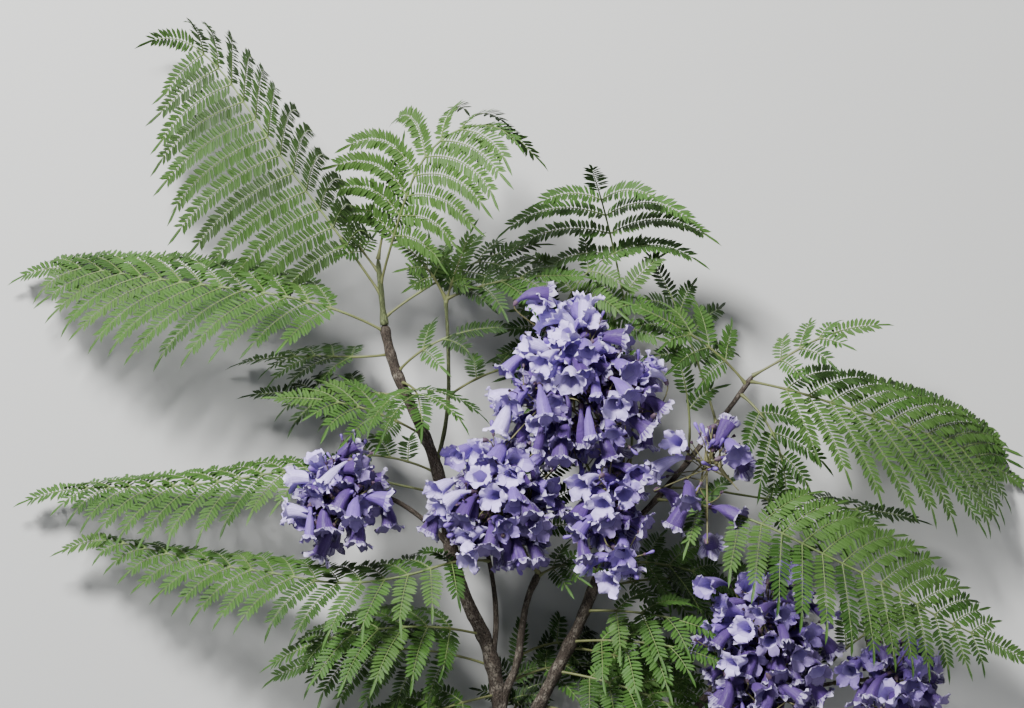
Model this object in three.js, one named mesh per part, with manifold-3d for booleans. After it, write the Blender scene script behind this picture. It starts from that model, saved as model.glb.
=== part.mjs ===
// A flowering branch of a jacaranda tree, cut off and lying on a level surface.
// Millimetres, +Z up. The branch points along +Y, from its cut end to its tips,
// and the side that faced the viewer on the tree lies uppermost.
// Limbs, leaves and flower clusters each follow a course: it leaves its carrier and
// turns through even steps of heading (0 is +Y, 90 is +X) and lift (90 is +Z), in degrees.

import * as THREE from 'three';
import { mergeVertices } from 'three/addons/utils/BufferGeometryUtils.js';
import Module from 'manifold-3d';

const wasm = await Module();
wasm.setup();
const { Manifold, Mesh } = wasm;

// Shared sizes
const CLEARANCE = 0.35;        // gap between a limb and what springs from it
const COURSE_STEP = 4;         // length of one straight step of a course
const REST_HEIGHT = 1.2;       // lowest that a course or a blade comes to the surface
const RING_PITCH = 40;         // distance between the rings of a limb
const STOUT_SIDES = 8;
const SLENDER_SIDES = 6;
const SLENDER_RADIUS = 4;
const UPRIGHT = new THREE.Vector3(0, 1, 0);
const DOWN_ON_TREE = new THREE.Vector3(0, -1, 0);
const SAME_POINT = 1e-4;

// The stem, its boughs and its twigs: carrier and place on it, course, length and radii
const STEM_START = new THREE.Vector3(-4, -530, 13);
const LIMBS = [
  { name: 'stem_base', headings: [-2, -3], lifts: [8, 18], length: 93, radii: [12.5, 11.4] },
  { name: 'bough_left', on: 'stem_base', at: 0.97, headings: [-4, -2, -10, -27, -14, -6, -24, -24, -8],
    lifts: [20, 20, 16, 9, 5, 4, 3, 3, 4], length: 500, radii: [8, 4.6] },
  { name: 'bough_right', on: 'stem_base', at: 0.93, headings: [20, 20, 26, 26, 20, 24, 10],
    lifts: [20, 20, 18, 13, 7, 5, 4], length: 345, radii: [7.2, 4.4] },
  { name: 'bough_middle', on: 'stem_base', at: 0.99, headings: [4, 0, -6, 26, 5, 11, 31],
    lifts: [30, 20, 18, 18, 15, 11, 12], length: 238, radii: [4.7, 3] },
  { name: 'bough_far_right', on: 'stem_base', at: 0.6, headings: [66, 64, 60, 48, 38],
    lifts: [20, 14, 10, 7, 4], length: 270, radii: [5.5, 3.8] },
  { name: 'twig_left_cluster', on: 'bough_left', at: 0.53, headings: [-38, -48, -60, -95],
    lifts: [14, 12, 10, 8], length: 108, radii: [2.9, 2.1] },
  { name: 'twig_middle', on: 'bough_left', at: 0.285, headings: [14, 0, -8, -14],
    lifts: [5, 8, 9, 9], length: 116, radii: [3.1, 2] },
  { name: 'twig_right', on: 'bough_right', at: 0.84, headings: [50, 40, 38, 34],
    lifts: [2, 2, 3, 6], length: 218, radii: [3.3, 2.2] },
  { name: 'twig_far_right', on: 'bough_far_right', at: 0.78, headings: [70, 76, 79],
    lifts: [0, 1, 4], length: 160, radii: [2.9, 2.1] },
  { name: 'shoot_left', on: 'bough_left', at: 0.7, headings: [18, 0, -4],
    lifts: [8, 5, 3], length: 168, radii: [2.3, 1.6] },
  { name: 'shoot_top', on: 'bough_left', at: 1, headings: [-6, -5],
    lifts: [4, 8], length: 66, radii: [3.1, 2.1] },
];

// Leaves: each is a rachis with opposite pinnae in two rows, and a last one at its end.
// across points along one row, bare is the share of the course with no pinnae on it
const PINNA_PITCH = 23;
const PINNA_HALF_WIDTH = 10;
const PINNA_FULL_LENGTH = 70;  // a shorter pinna is narrower too
const PINNA_THICKNESS = 1.4;
const PINNA_ROOT = 5;          // stretch of the rachis that a pinna grows from
const PINNA_ROWS = [1, -1];
const PINNA_LEAN = [20, 56];    // degrees that a pinna leans to the leaf's tip, first and last
const PINNA_SPAN = [0.18, 0.9];  // stretch of a half wave that the pinnae's lengths follow
const PINNA_FULLNESS = 0.8;
const PINNA_DROOP = 0.55;
const PINNA_RISE = 0.12;
const PINNA_OFFSET = 0.45;     // place of a pair within its pitch
const PINNA_FREE = 0.08;       // share of a pinna at which it is clear of its rachis
const WIDEST_PLACE = 0.42;
const END_PINNA = 62;          // length of the last pinna
const END_HALF_WIDTH = 9;
const BARE_PITCH = 18;         // distance between the rings of a bare stalk
const RACHIS_RADII = [1.5, 0.9];
const RACHIS_RIDGE = 1.7;      // height of the rachis for each unit of its radius
const BLADE_GAP = 0.6;         // least gap between a pinna or a flower and anything else
const LEAVES = [
  { name: 'leaf_top_left', on: 'shoot_top', at: 0.45, headings: [-34, -36, -37, -35, -34, -52, -116],
    lifts: [10, 0, -8, -14, -18, -22, -20], length: 386, bare: 0.13, pinna: 138,
    lean: [16, 26], droop: 0.7, rise: -0.36, across: [-0.65, -0.47, -0.6] },
  { name: 'leaf_up_right', on: 'shoot_top', at: 0.6, headings: [14, 17, 18, 24, 48, 82, 126, 150],
    lifts: [20, 25, 22, 16, 8, 0, -6, -10], length: 285, bare: 0.16, pinna: 118,
    lean: [30, 46], droop: 1, across: [0.8, -0.1, 0.62] },
  { name: 'leaf_young', on: 'shoot_top', at: 1, headings: [10, 14, 8], lifts: [5, 0, -5],
    length: 125, bare: 0.25, pinna: 44, across: [0.8, 0, -0.5] },
  { name: 'leaf_young_left', on: 'shoot_top', at: 0.8, headings: [-40, -24], lifts: [0, -10],
    length: 96, bare: 0.25, pinna: 34, across: [0.7, 0.2, -0.6] },
  { name: 'leaf_left', on: 'bough_left', at: 0.985, headings: [-60, -74, -82, -83, -81, -84, -118],
    lifts: [10, 0, -14, -22, -24, -18, -4], length: 408, bare: 0.12, pinna: 118,
    lean: [36, 60], droop: 0.7, across: [0, 0.72, -0.69] },
  { name: 'leaf_left_inner', on: 'bough_left', at: 0.94, headings: [-98, -88, -92, -105],
    lifts: [-36, -32, -28, -20], length: 190, bare: 0.2, pinna: 62, across: [0, 0.4, -0.9] },
  { name: 'leaf_inner_right', on: 'shoot_top', at: 0.1, headings: [50, 60, 68, 85],
    lifts: [-12, -10, -6, -5], length: 185, bare: 0.2, pinna: 76, across: [0.3, -0.6, 0.7] },
  { name: 'leaf_centre', on: 'shoot_left', at: 1, headings: [66, 82, 96],
    lifts: [6, 0, -16], length: 150, bare: 0.2, pinna: 62, across: [0, -0.65, 0.75] },
  { name: 'leaf_facing', on: 'bough_left', at: 0.88, headings: [95, 165, 178],
    lifts: [62, 66, 32], length: 118, bare: 0.25, pinna: 88, droop: 0.9, across: [-1, 0, 0] },
  { name: 'leaf_back_left', on: 'bough_left', at: 0.85, headings: [-84, -90, -96],
    lifts: [-20, -26, -14], length: 180, bare: 0.25, pinna: 62, across: [0, 0.6, -0.8] },
  { name: 'leaf_left_low', on: 'bough_left', at: 0.64,
    headings: [-80, -78, -84, -101, -96, -90, -94, -116],
    lifts: [-34, -14, 0, -2, -8, -12, -10, -2], length: 446, bare: 0.3, pinna: 86,
    lean: [38, 62], droop: 0.9, across: [0, 0.66, -0.75] },
  { name: 'leaf_left_lowest', on: 'twig_middle', at: 0.88,
    headings: [-80, -108, -96, -80, -84, -77, -78, -128],
    lifts: [50, 20, -8, -20, -22, -18, -12, -4], length: 476, bare: 0.08, pinna: 80,
    lean: [18, 62], droop: 0.9, across: [0, 0.66, -0.75] },
  { name: 'leaf_base_left', on: 'bough_left', at: 0.27, headings: [-68, -95, -118],
    lifts: [12, -5, -15], length: 240, bare: 0.15, pinna: 84, droop: 0.8, across: [0, 0.75, -0.65] },
  { name: 'leaf_base_low', on: 'bough_left', at: 0.16, headings: [-88, -108, -126],
    lifts: [5, -8, -14], length: 240, bare: 0.15, pinna: 84, droop: 0.8, across: [0, 0.75, -0.65] },
  { name: 'leaf_foot_left', on: 'bough_left', at: 0.05, headings: [-95, -120, -138],
    lifts: [20, 2, -14], length: 270, bare: 0.2, pinna: 88, across: [-0.3, 0.7, -0.6] },
  { name: 'leaf_top_right', on: 'bough_right', at: 0.98, headings: [8, 0, -10, -16, -24],
    lifts: [-26, -10, 4, 48, 72], length: 402, bare: 0.6, pinna: 126,
    lean: [12, 40], droop: 0.9, across: [-1, 0, -0.1] },
  { name: 'leaf_behind_top', on: 'bough_right', at: 0.94, headings: [-8, -20, -35, -40],
    lifts: [-40, -16, 0, 4], length: 285, bare: 0.45, pinna: 84, across: [0.68, 0.5, -0.3] },
  { name: 'leaf_node_left', on: 'twig_right', at: 0.95, headings: [-38, -58, -68],
    lifts: [14, 10, -4], length: 150, bare: 0.15, pinna: 64, across: [0.35, 0.6, -0.6] },
  { name: 'leaf_behind_right', on: 'twig_right', at: 0.72, headings: [-14, -20, -32],
    lifts: [-28, -12, 4], length: 200, bare: 0.3, pinna: 76, across: [0.6, 0.3, -0.6] },
  { name: 'leaf_node_up', on: 'twig_right', at: 1, headings: [62, 58, 74, 95],
    lifts: [10, 4, -10, -14], length: 150, bare: 0.15, pinna: 52, across: [0, -0.7, 0.7] },
  { name: 'leaf_node_down', on: 'twig_right', at: 0.9, headings: [128, 165, 188],
    lifts: [24, 0, -12], length: 150, bare: 0.12, pinna: 72, across: [-0.8, 0, 0.5] },
  { name: 'leaf_right', on: 'twig_right', at: 0.97, headings: [100, 108, 107, 110, 118, 126],
    lifts: [10, -8, -22, -32, -34, -14], length: 344, bare: 0.08, pinna: 124,
    lean: [34, 56], droop: 0.6, across: [-0.12, -0.78, 0.6] },
  { name: 'leaf_right_behind', on: 'twig_right', at: 0.35, headings: [90, 100, 98, 94, 110],
    lifts: [-32, -14, -6, 0, -8], length: 275, bare: 0.36, pinna: 66,
    droop: 0.9, across: [0, -0.6, 0.8] },
  { name: 'leaf_right_low', on: 'twig_right', at: 0.28, headings: [92, 104, 117, 116, 122, 114, 120],
    lifts: [42, 26, 4, -10, -18, -20, -10], length: 440, bare: 0.1, pinna: 88,
    lean: [10, 34], droop: 0.5, across: [-0.4, -0.72, 0.56] },
  { name: 'leaf_under_right', on: 'bough_right', at: 0.77, headings: [84, 105, 125],
    lifts: [-24, -22, -18], length: 175, bare: 0.2, pinna: 66, across: [-0.3, -0.6, 0.6] },
  { name: 'leaf_between', on: 'bough_middle', at: 0.62, headings: [60, 95, 130],
    lifts: [-48, -36, -18], length: 155, bare: 0.3, pinna: 58, across: [0, -0.7, 0.7] },
  { name: 'leaf_right_inner', on: 'bough_right', at: 0.68, headings: [72, 92, 112],
    lifts: [-32, -24, -12], length: 185, bare: 0.2, pinna: 72, across: [0, -0.7, 0.7] },
  { name: 'leaf_base_right', on: 'bough_right', at: 0.5, headings: [96, 116, 136],
    lifts: [-20, -20, -12], length: 195, bare: 0.2, pinna: 78, across: [-0.2, -0.7, 0.7] },
  { name: 'leaf_foot_right', on: 'bough_right', at: 0.3, headings: [98, 120, 142],
    lifts: [-4, -12, -16], length: 165, bare: 0.25, pinna: 62, across: [-0.2, -0.7, 0.7] },
  { name: 'leaf_far_right_foot', on: 'bough_far_right', at: 0.5, headings: [122, 142, 160],
    lifts: [16, -6, -14], length: 245, bare: 0.2, pinna: 84, across: [-0.5, -0.5, 0.6] },
  { name: 'leaf_far_right_up', on: 'bough_far_right', at: 0.93, headings: [16, 36, 58],
    lifts: [-30, -12, 0], length: 205, bare: 0.25, pinna: 70, across: [0.6, -0.5, 0.6] },
  { name: 'leaf_far_right_tip', on: 'twig_far_right', at: 0.6, headings: [152, 132, 118],
    lifts: [-14, -10, -4], length: 235, bare: 0.2, pinna: 78, across: [-0.5, -0.5, 0.6] },
];

// Flower clusters: a short axis, and trumpet flowers round a core on twigs from it.
// centre and radii give the core, and taper makes it narrower towards its top
const FLOWER_PROFILE = [[0, 0], [1.1, 0], [0.9, 0], [6.8, 24], [15.5, 44], [0, 37]];
const JOINT_ROW = 2;           // row of the profile where the twig ends and the flower starts
const FLOWER_SIDES = 5;
const FLOWER_LENGTH = 44;
const FLOWER_NOD = 0.45;
const FLOWER_UNEVEN = 0.35;
const SHELL_DEPTH = 0.16;
const GOLDEN_ANGLE = Math.PI * (3 - Math.sqrt(5));
const AXIS_RADII = [2.1, 1.3];
const AXIS_FORKS = [0.12, 0.97]; // places on a cluster's axis between which its twigs spring
const FORK_BELOW = 0.1;        // how far below its flower a twig springs
const SEED = 4711;
const RANDOM_FACTOR = 16807;
const RANDOM_RANGE = 2147483647;
const MERGE_WITHIN = 0.02;     // faces of a cluster that lie this close to flat are joined
const CLUSTERS = [
  { name: 'flowers_left', on: 'twig_left_cluster', headings: [-70, -60], lifts: [35, 30], length: 50,
    centre: [-174, -148, 150], radii: [66, 66, 58], taper: 0, flowers: 18 },
  { name: 'flowers_top', on: 'bough_right', headings: [-12, -28, -30], lifts: [16, 12, 6], length: 190,
    centre: [62, -34, 150], radii: [85, 94, 70], taper: 0.36, flowers: 40 },
  { name: 'flowers_middle', on: 'bough_middle', headings: [-40, -35], lifts: [32, 25], length: 95,
    centre: [-18, -150, 150], radii: [74, 74, 58], taper: 0.1, flowers: 24 },
  { name: 'flowers_front', on: 'bough_right', at: 0.8, headings: [-30, -20], lifts: [58, 40], length: 62,
    centre: [98, -160, 168], radii: [46, 78, 42], taper: 0, flowers: 15 },
  { name: 'flowers_right', on: 'twig_right', at: 0.62, headings: [150, 140], lifts: [48, 20], length: 70,
    centre: [192, -128, 152], radii: [60, 70, 44], taper: 0, flowers: 11 },
  { name: 'flowers_low_right', on: 'bough_far_right', headings: [50, 40], lifts: [50, 40], length: 70,
    centre: [255, -302, 122], radii: [80, 90, 58], taper: 0, flowers: 28 },
  { name: 'flowers_far_right', on: 'twig_far_right', headings: [80, 82], lifts: [40, 30], length: 70,
    centre: [384, -334, 112], radii: [58, 50, 46], taper: 0, flowers: 13 },
];

const BARK = { color: 0x5b4f45, roughness: 0.9, metalness: 0 };
const GREEN_BARK = { color: 0x6c7a4c, roughness: 0.75, metalness: 0 };
const LEAF = { color: 0x55803f, roughness: 0.55, metalness: 0 };
const PETAL = { color: 0x8a76c8, roughness: 0.5, metalness: 0 };

function sample(values, share) {
  const place = Math.min(Math.max(share, 0), 1) * (values.length - 1);
  const index = Math.min(Math.floor(place), values.length - 2);
  return THREE.MathUtils.lerp(values[index], values[index + 1], place - index);
}

function direction(heading, lift) {
  const turn = THREE.MathUtils.degToRad(heading);
  const rise = THREE.MathUtils.degToRad(lift);
  const level = Math.cos(rise);
  return new THREE.Vector3(Math.sin(turn) * level, Math.cos(turn) * level, Math.sin(rise));
}

class Course {
  constructor(start, { headings, lifts, length }) {
    const steps = Math.max(2, Math.round(length / COURSE_STEP));
    this.length = length;
    this.points = [start.clone()];
    for (let step = 0; step < steps; step += 1) {
      const share = (step + 0.5) / steps;
      const ahead = direction(sample(headings, share), sample(lifts, share));
      const next = this.points[step].clone().addScaledVector(ahead, length / steps);
      next.z = Math.max(next.z, REST_HEIGHT);
      this.points.push(next);
    }
  }

  at(share) {
    const last = this.points.length - 1;
    const place = share * last;
    const index = Math.min(Math.max(Math.floor(place), 0), last - 1);
    const start = this.points[index];
    return start.clone().addScaledVector(this.points[index + 1].clone().sub(start), place - index);
  }

  along(share) {
    const reach = 0.5 / (this.points.length - 1);
    const ahead = this.at(Math.min(share + reach, 1));
    return ahead.sub(this.at(Math.max(share - reach, 0))).normalize();
  }
}

// A closed solid of a geometry, its equal corners joined
function solidOf(geometry) {
  const plain = new THREE.BufferGeometry();
  plain.setAttribute('position', geometry.getAttribute('position').clone());
  const source = geometry.index ? geometry.index.array : [...plain.attributes.position.array.keys()];
  plain.setIndex([...source]);
  const merged = mergeVertices(plain, SAME_POINT);
  const corners = [];
  for (let face = 0; face < merged.index.count; face += 3) {
    const [a, b, c] = [0, 1, 2].map((corner) => merged.index.getX(face + corner));
    if (a !== b && b !== c && c !== a) corners.push(a, b, c);
  }
  return new Manifold(new Mesh({
    numProp: 3,
    vertProperties: new Float32Array(merged.attributes.position.array),
    triVerts: new Uint32Array(corners),
  }));
}

function geometryOf(solid) {
  const mesh = solid.getMesh();
  const geometry = new THREE.BufferGeometry();
  geometry.setAttribute('position', new THREE.Float32BufferAttribute(mesh.vertProperties, 3));
  geometry.setIndex([...mesh.triVerts]);
  geometry.computeVertexNormals();
  return geometry;
}

function largestPart(solid) {
  return solid.decompose().sort((one, other) => other.volume() - one.volume())[0];
}

function endSign(share) {
  if (share < SAME_POINT) return -1;
  return share > 1 - SAME_POINT ? 1 : 0;
}

// A tapering round tube along a course; grow makes it larger all over, ends too
function tubeGeometry(course, radii, sides, ringPitch, grow = 0) {
  const rings = Math.max(2, Math.ceil(course.length / ringPitch));
  const geometry = new THREE.CylinderGeometry(1, 1, 1, sides, rings);
  const position = geometry.getAttribute('position');
  for (let index = 0; index < position.count; index += 1) {
    const share = position.getY(index) + 0.5;
    const ahead = course.along(share);
    const beside = ahead.clone().cross(new THREE.Vector3(0, 0, 1)).normalize();
    const above = beside.clone().cross(ahead);
    const radius = THREE.MathUtils.lerp(...radii, share) + grow;
    const spot = course.at(share).addScaledVector(ahead, grow * endSign(share));
    spot.addScaledVector(beside, radius * position.getX(index));
    spot.addScaledVector(above, radius * position.getZ(index));
    position.setXYZ(index, spot.x, spot.y, spot.z);
  }
  return geometry;
}

// What has its place already, so that nothing later touches it
const placed = [];
const hollows = {};

function boxesMeet(one, other, gap) {
  return [0, 1, 2].every((axis) => (
    one.min[axis] < other.max[axis] + gap && other.min[axis] < one.max[axis] + gap));
}

function isClear(solid, gap, neighbours = placed) {
  const box = solid.boundingBox();
  if (box.min[2] < REST_HEIGHT / 2) return false;
  return neighbours.every(({ solid: other, box: otherBox }) => (
    !boxesMeet(box, otherBox, gap) || solid.minGap(other, gap + 1) >= gap));
}

function keepPlace(name, solid) {
  placed.push({ name, solid, box: solid.boundingBox() });
}

const model = new THREE.Group();

function addMesh(name, solid, finish) {
  const mesh = new THREE.Mesh(geometryOf(solid), new THREE.MeshStandardMaterial(finish));
  mesh.name = name;
  model.add(mesh);
}

// Limbs: each springs from its carrier's axis, cut back to its carrier's skin
const courses = {};
for (const limb of LIMBS) {
  const start = limb.on ? courses[limb.on].at(limb.at) : STEM_START;
  const course = new Course(start, limb);
  const sides = limb.radii[0] < SLENDER_RADIUS ? SLENDER_SIDES : STOUT_SIDES;
  let solid = solidOf(tubeGeometry(course, limb.radii, sides, RING_PITCH));
  for (const other of Object.keys(hollows)) solid = solid.subtract(hollows[other]);
  solid = largestPart(solid);
  courses[limb.name] = course;
  hollows[limb.name] = solidOf(tubeGeometry(course, limb.radii, sides, RING_PITCH, CLEARANCE));
  keepPlace(limb.name, solid);
  addMesh(limb.name, solid, limb.name.startsWith('shoot') ? GREEN_BARK : BARK);
}

// A chain of three-cornered rings, [one edge, the other edge, ridge], closed at both ends
class BladeMesh {
  constructor() {
    this.positions = [];
    this.corners = [];
  }

  point(place) {
    this.positions.push(place.x, place.y, place.z);
    return this.positions.length / 3 - 1;
  }

  ring(centre, beside, above, halfWidth, height) {
    return [
      this.point(centre.clone().addScaledVector(beside, halfWidth)),
      this.point(centre.clone().addScaledVector(beside, -halfWidth)),
      this.point(centre.clone().addScaledVector(above, height)),
    ];
  }

  faces(...triples) {
    for (const triple of triples) this.corners.push(...triple);
  }

  startCap([one, other, ridge]) {
    this.faces([one, ridge, other]);
  }

  slope([one, , ridge], [nextOne, , nextRidge]) {
    this.faces([one, nextOne, nextRidge], [one, nextRidge, ridge]);
  }

  farSlope([, other, ridge], [, nextOther, nextRidge]) {
    this.faces([ridge, nextRidge, nextOther], [ridge, nextOther, other]);
  }

  underside([one, other], [nextOne, nextOther]) {
    this.faces([other, nextOther, nextOne], [other, nextOne, one]);
  }

  tip([one, other, ridge], end) {
    this.faces([one, end, ridge], [ridge, end, other], [other, end, one]);
  }

  // A pinna in place of one slope: its widest ring is [front, back, ridge]
  pinna(root, nextRoot, row, [front, back, ridge], end) {
    const side = row > 0 ? 0 : 1;
    const triples = [
      [root[side], front, ridge], [root[side], ridge, root[2]], [root[2], ridge, nextRoot[2]],
      [nextRoot[2], ridge, back], [nextRoot[2], back, nextRoot[side]],
      [root[side], nextRoot[side], back], [root[side], back, front],
      [front, end, ridge], [ridge, end, back], [front, back, end],
    ];
    for (const [a, b, c] of triples) this.faces(row > 0 ? [a, b, c] : [a, c, b]);
  }

  solid() {
    const geometry = new THREE.BufferGeometry();
    geometry.setAttribute('position', new THREE.Float32BufferAttribute(this.positions, 3));
    geometry.setIndex(this.corners);
    return solidOf(geometry);
  }
}

function frameAt(course, share, across) {
  const ahead = course.along(share);
  const beside = across.clone().addScaledVector(ahead, -across.dot(ahead)).normalize();
  return { centre: course.at(share), ahead, beside, above: beside.clone().cross(ahead) };
}

// Places along a leaf: the rings of its rachis, and for each pair the ring that it starts from
function leafStations(leaf) {
  const end = leaf.length - END_PINNA;
  const start = leaf.bare * leaf.length;
  const pairs = Math.max(2, Math.round((end - start) / PINNA_PITCH));
  const pitch = (end - start) / pairs;
  const roots = Array.from({ length: pairs }, (_, pair) => start + (pair + PINNA_OFFSET) * pitch);
  return { end, roots };
}

function pinnaShape(leaf, course, across, distance, share, row) {
  const frame = frameAt(course, distance / leaf.length, across);
  const lean = THREE.MathUtils.degToRad(THREE.MathUtils.lerp(...(leaf.lean ?? PINNA_LEAN), share));
  const swell = Math.sin(Math.PI * THREE.MathUtils.lerp(...PINNA_SPAN, share));
  const length = leaf.pinna * swell ** PINNA_FULLNESS;
  const first = frame.beside.clone().multiplyScalar(row * Math.cos(lean));
  first.addScaledVector(frame.ahead, Math.sin(lean));
  first.addScaledVector(frame.above, leaf.rise ?? PINNA_RISE).normalize();
  const last = first.clone().addScaledVector(DOWN_ON_TREE, leaf.droop ?? PINNA_DROOP).normalize();
  const placeAt = (part) => {
    const spot = frame.centre.clone().addScaledVector(first, length * part);
    spot.addScaledVector(last.clone().sub(first), length * part * part / 2);
    spot.z = Math.max(spot.z, REST_HEIGHT);
    return spot;
  };
  const outward = first.clone().lerp(last, WIDEST_PLACE).normalize();
  const wide = frame.ahead.clone().addScaledVector(outward, -frame.ahead.dot(outward)).normalize();
  const above = wide.clone().cross(outward).multiplyScalar(-row).normalize();
  const halfWidth = PINNA_HALF_WIDTH * Math.min(1, length / PINNA_FULL_LENGTH);
  return { placeAt, wide, above, halfWidth };
}

// The pinna alone, from just off the rachis, to test the room that it has
function pinnaAlone({ placeAt, wide, above, halfWidth }) {
  const blade = new BladeMesh();
  const start = blade.ring(placeAt(PINNA_FREE), wide, above, PINNA_ROOT / 2, PINNA_THICKNESS / 2);
  const middle = blade.ring(placeAt(WIDEST_PLACE), wide, above, halfWidth, PINNA_THICKNESS);
  blade.startCap(start);
  blade.slope(start, middle);
  blade.farSlope(start, middle);
  blade.underside(start, middle);
  blade.tip(middle, blade.point(placeAt(1)));
  return blade.solid();
}

function addSpan(blade, ring, nextRing, pinnae = {}) {
  if (pinnae[1]) blade.pinna(ring, nextRing, 1, pinnae[1].ring, pinnae[1].end);
  else blade.slope(ring, nextRing);
  if (pinnae[-1]) blade.pinna(ring, nextRing, -1, pinnae[-1].ring, pinnae[-1].end);
  else blade.farSlope(ring, nextRing);
  blade.underside(ring, nextRing);
}

function leafSolid(leaf, course, hasPinna) {
  const across = new THREE.Vector3(...leaf.across);
  const { end, roots } = leafStations(leaf);
  const blade = new BladeMesh();
  const ringAt = (distance) => {
    const frame = frameAt(course, distance / leaf.length, across);
    const radius = THREE.MathUtils.lerp(...RACHIS_RADII, distance / leaf.length);
    return blade.ring(frame.centre, frame.beside, frame.above, radius, RACHIS_RIDGE * radius);
  };
  let ring = ringAt(0);
  blade.startCap(ring);
  for (let distance = BARE_PITCH; distance < roots[0] - BARE_PITCH / 2; distance += BARE_PITCH) {
    const nextRing = ringAt(distance);
    addSpan(blade, ring, nextRing);
    ring = nextRing;
  }
  roots.forEach((distance, pair) => {
    const before = ringAt(distance - PINNA_ROOT / 2);
    const after = ringAt(distance + PINNA_ROOT / 2);
    const pinnae = {};
    for (const row of PINNA_ROWS) {
      const shape = pinnaShape(leaf, course, across, distance, (pair + 0.5) / roots.length, row);
      if (hasPinna(shape)) {
        const corners = blade.ring(shape.placeAt(WIDEST_PLACE), shape.wide, shape.above,
          shape.halfWidth, PINNA_THICKNESS);
        const [back, front, ridge] = corners;
        pinnae[row] = { ring: [front, back, ridge], end: blade.point(shape.placeAt(1)) };
      }
    }
    addSpan(blade, ring, before);
    addSpan(blade, before, after, pinnae);
    ring = after;
  });
  const last = ringAt(end);
  addSpan(blade, ring, last);
  const frame = frameAt(course, (end + END_PINNA * WIDEST_PLACE) / leaf.length, across);
  const widest = blade.ring(frame.centre, frame.beside, frame.above, END_HALF_WIDTH, PINNA_THICKNESS);
  addSpan(blade, last, widest);
  blade.tip(widest, blade.point(course.at(1)));
  return blade.solid();
}

// Every rachis has its place before the flowers, and the flowers before the pinnae
const stalks = {};
for (const leaf of LEAVES) {
  const course = new Course(courses[leaf.on].at(leaf.at), leaf);
  const bare = leafSolid(leaf, course, () => false).subtract(hollows[leaf.on]);
  courses[leaf.name] = course;
  stalks[leaf.name] = { name: leaf.name, solid: largestPart(bare), box: bare.boundingBox() };
}

// Flowers
function numbersFrom(seed) {
  let state = seed;
  return () => {
    state = (state * RANDOM_FACTOR) % RANDOM_RANGE;
    return state / RANDOM_RANGE;
  };
}

function flowerSite(cluster, index, random) {
  const turn = index * GOLDEN_ANGLE;
  const height = 1 - 2 * (index + 0.5) / cluster.flowers;
  const ring = Math.sqrt(1 - height * height);
  const unit = new THREE.Vector3(ring * Math.cos(turn), height, ring * Math.sin(turn));
  const radii = new THREE.Vector3(...cluster.radii);
  const spread = 1 - cluster.taper * height;
  const reach = 1 - SHELL_DEPTH * random();
  const mouth = unit.clone().multiply(radii).multiply(new THREE.Vector3(spread, 1, spread));
  mouth.multiplyScalar(reach).add(new THREE.Vector3(...cluster.centre));
  const facing = unit.clone().divide(radii).normalize().addScaledVector(DOWN_ON_TREE, FLOWER_NOD);
  const uneven = [random(), random(), random()].map((value) => FLOWER_UNEVEN * (value - 0.5));
  facing.add(new THREE.Vector3(...uneven)).normalize();
  const base = mouth.clone().addScaledVector(facing, -FLOWER_LENGTH);
  return { base, facing, height, spin: random() * Math.PI };
}

// A flower on its twig in one lathe shape, whose first rows are moved to the twig's foot
function flowerSolid({ base, facing, spin }, foot) {
  const profile = FLOWER_PROFILE.map(([radius, along]) => new THREE.Vector2(radius, along));
  const geometry = new THREE.LatheGeometry(profile, FLOWER_SIDES, spin);
  const outward = base.clone().sub(foot).normalize();
  const flowerTurn = new THREE.Quaternion().setFromUnitVectors(UPRIGHT, facing);
  const twigTurn = new THREE.Quaternion().setFromUnitVectors(facing, outward).multiply(flowerTurn);
  const jointTurn = flowerTurn.clone().slerp(twigTurn, 0.5);
  const position = geometry.getAttribute('position');
  for (let index = 0; index < position.count; index += 1) {
    const row = index % profile.length;
    const turn = row < JOINT_ROW ? twigTurn : row === JOINT_ROW ? jointTurn : flowerTurn;
    const spot = new THREE.Vector3().fromBufferAttribute(position, index).applyQuaternion(turn);
    spot.add(row < JOINT_ROW ? foot : base);
    position.setXYZ(index, spot.x, spot.y, spot.z);
  }
  return solidOf(geometry);
}

CLUSTERS.forEach((cluster, order) => {
  const carrier = courses[cluster.on];
  const course = new Course(carrier.at(cluster.at ?? 1), cluster);
  const random = numbersFrom(SEED + order);
  const neighbours = [...placed, ...Object.values(stalks)];
  let solid = solidOf(tubeGeometry(course, AXIS_RADII, SLENDER_SIDES, RING_PITCH));
  solid = largestPart(solid.subtract(hollows[cluster.on]));
  const bells = [];
  for (let index = 0; index < cluster.flowers; index += 1) {
    const site = flowerSite(cluster, index, random);
    const sprung = THREE.MathUtils.clamp((site.height + 1) / 2 - FORK_BELOW, ...AXIS_FORKS);
    const flower = flowerSolid(site, course.at(sprung));
    const bell = flowerSolid(site, site.base.clone().addScaledVector(site.facing, -1));
    if (!isClear(flower, BLADE_GAP, neighbours) || !isClear(bell, BLADE_GAP, bells)) continue;
    bells.push({ solid: bell, box: bell.boundingBox() });
    solid = solid.add(flower);
  }
  solid = largestPart(solid).asOriginal().simplify(MERGE_WITHIN);
  courses[cluster.name] = course;
  keepPlace(cluster.name, solid);
  addMesh(cluster.name, solid, PETAL);
});

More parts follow.
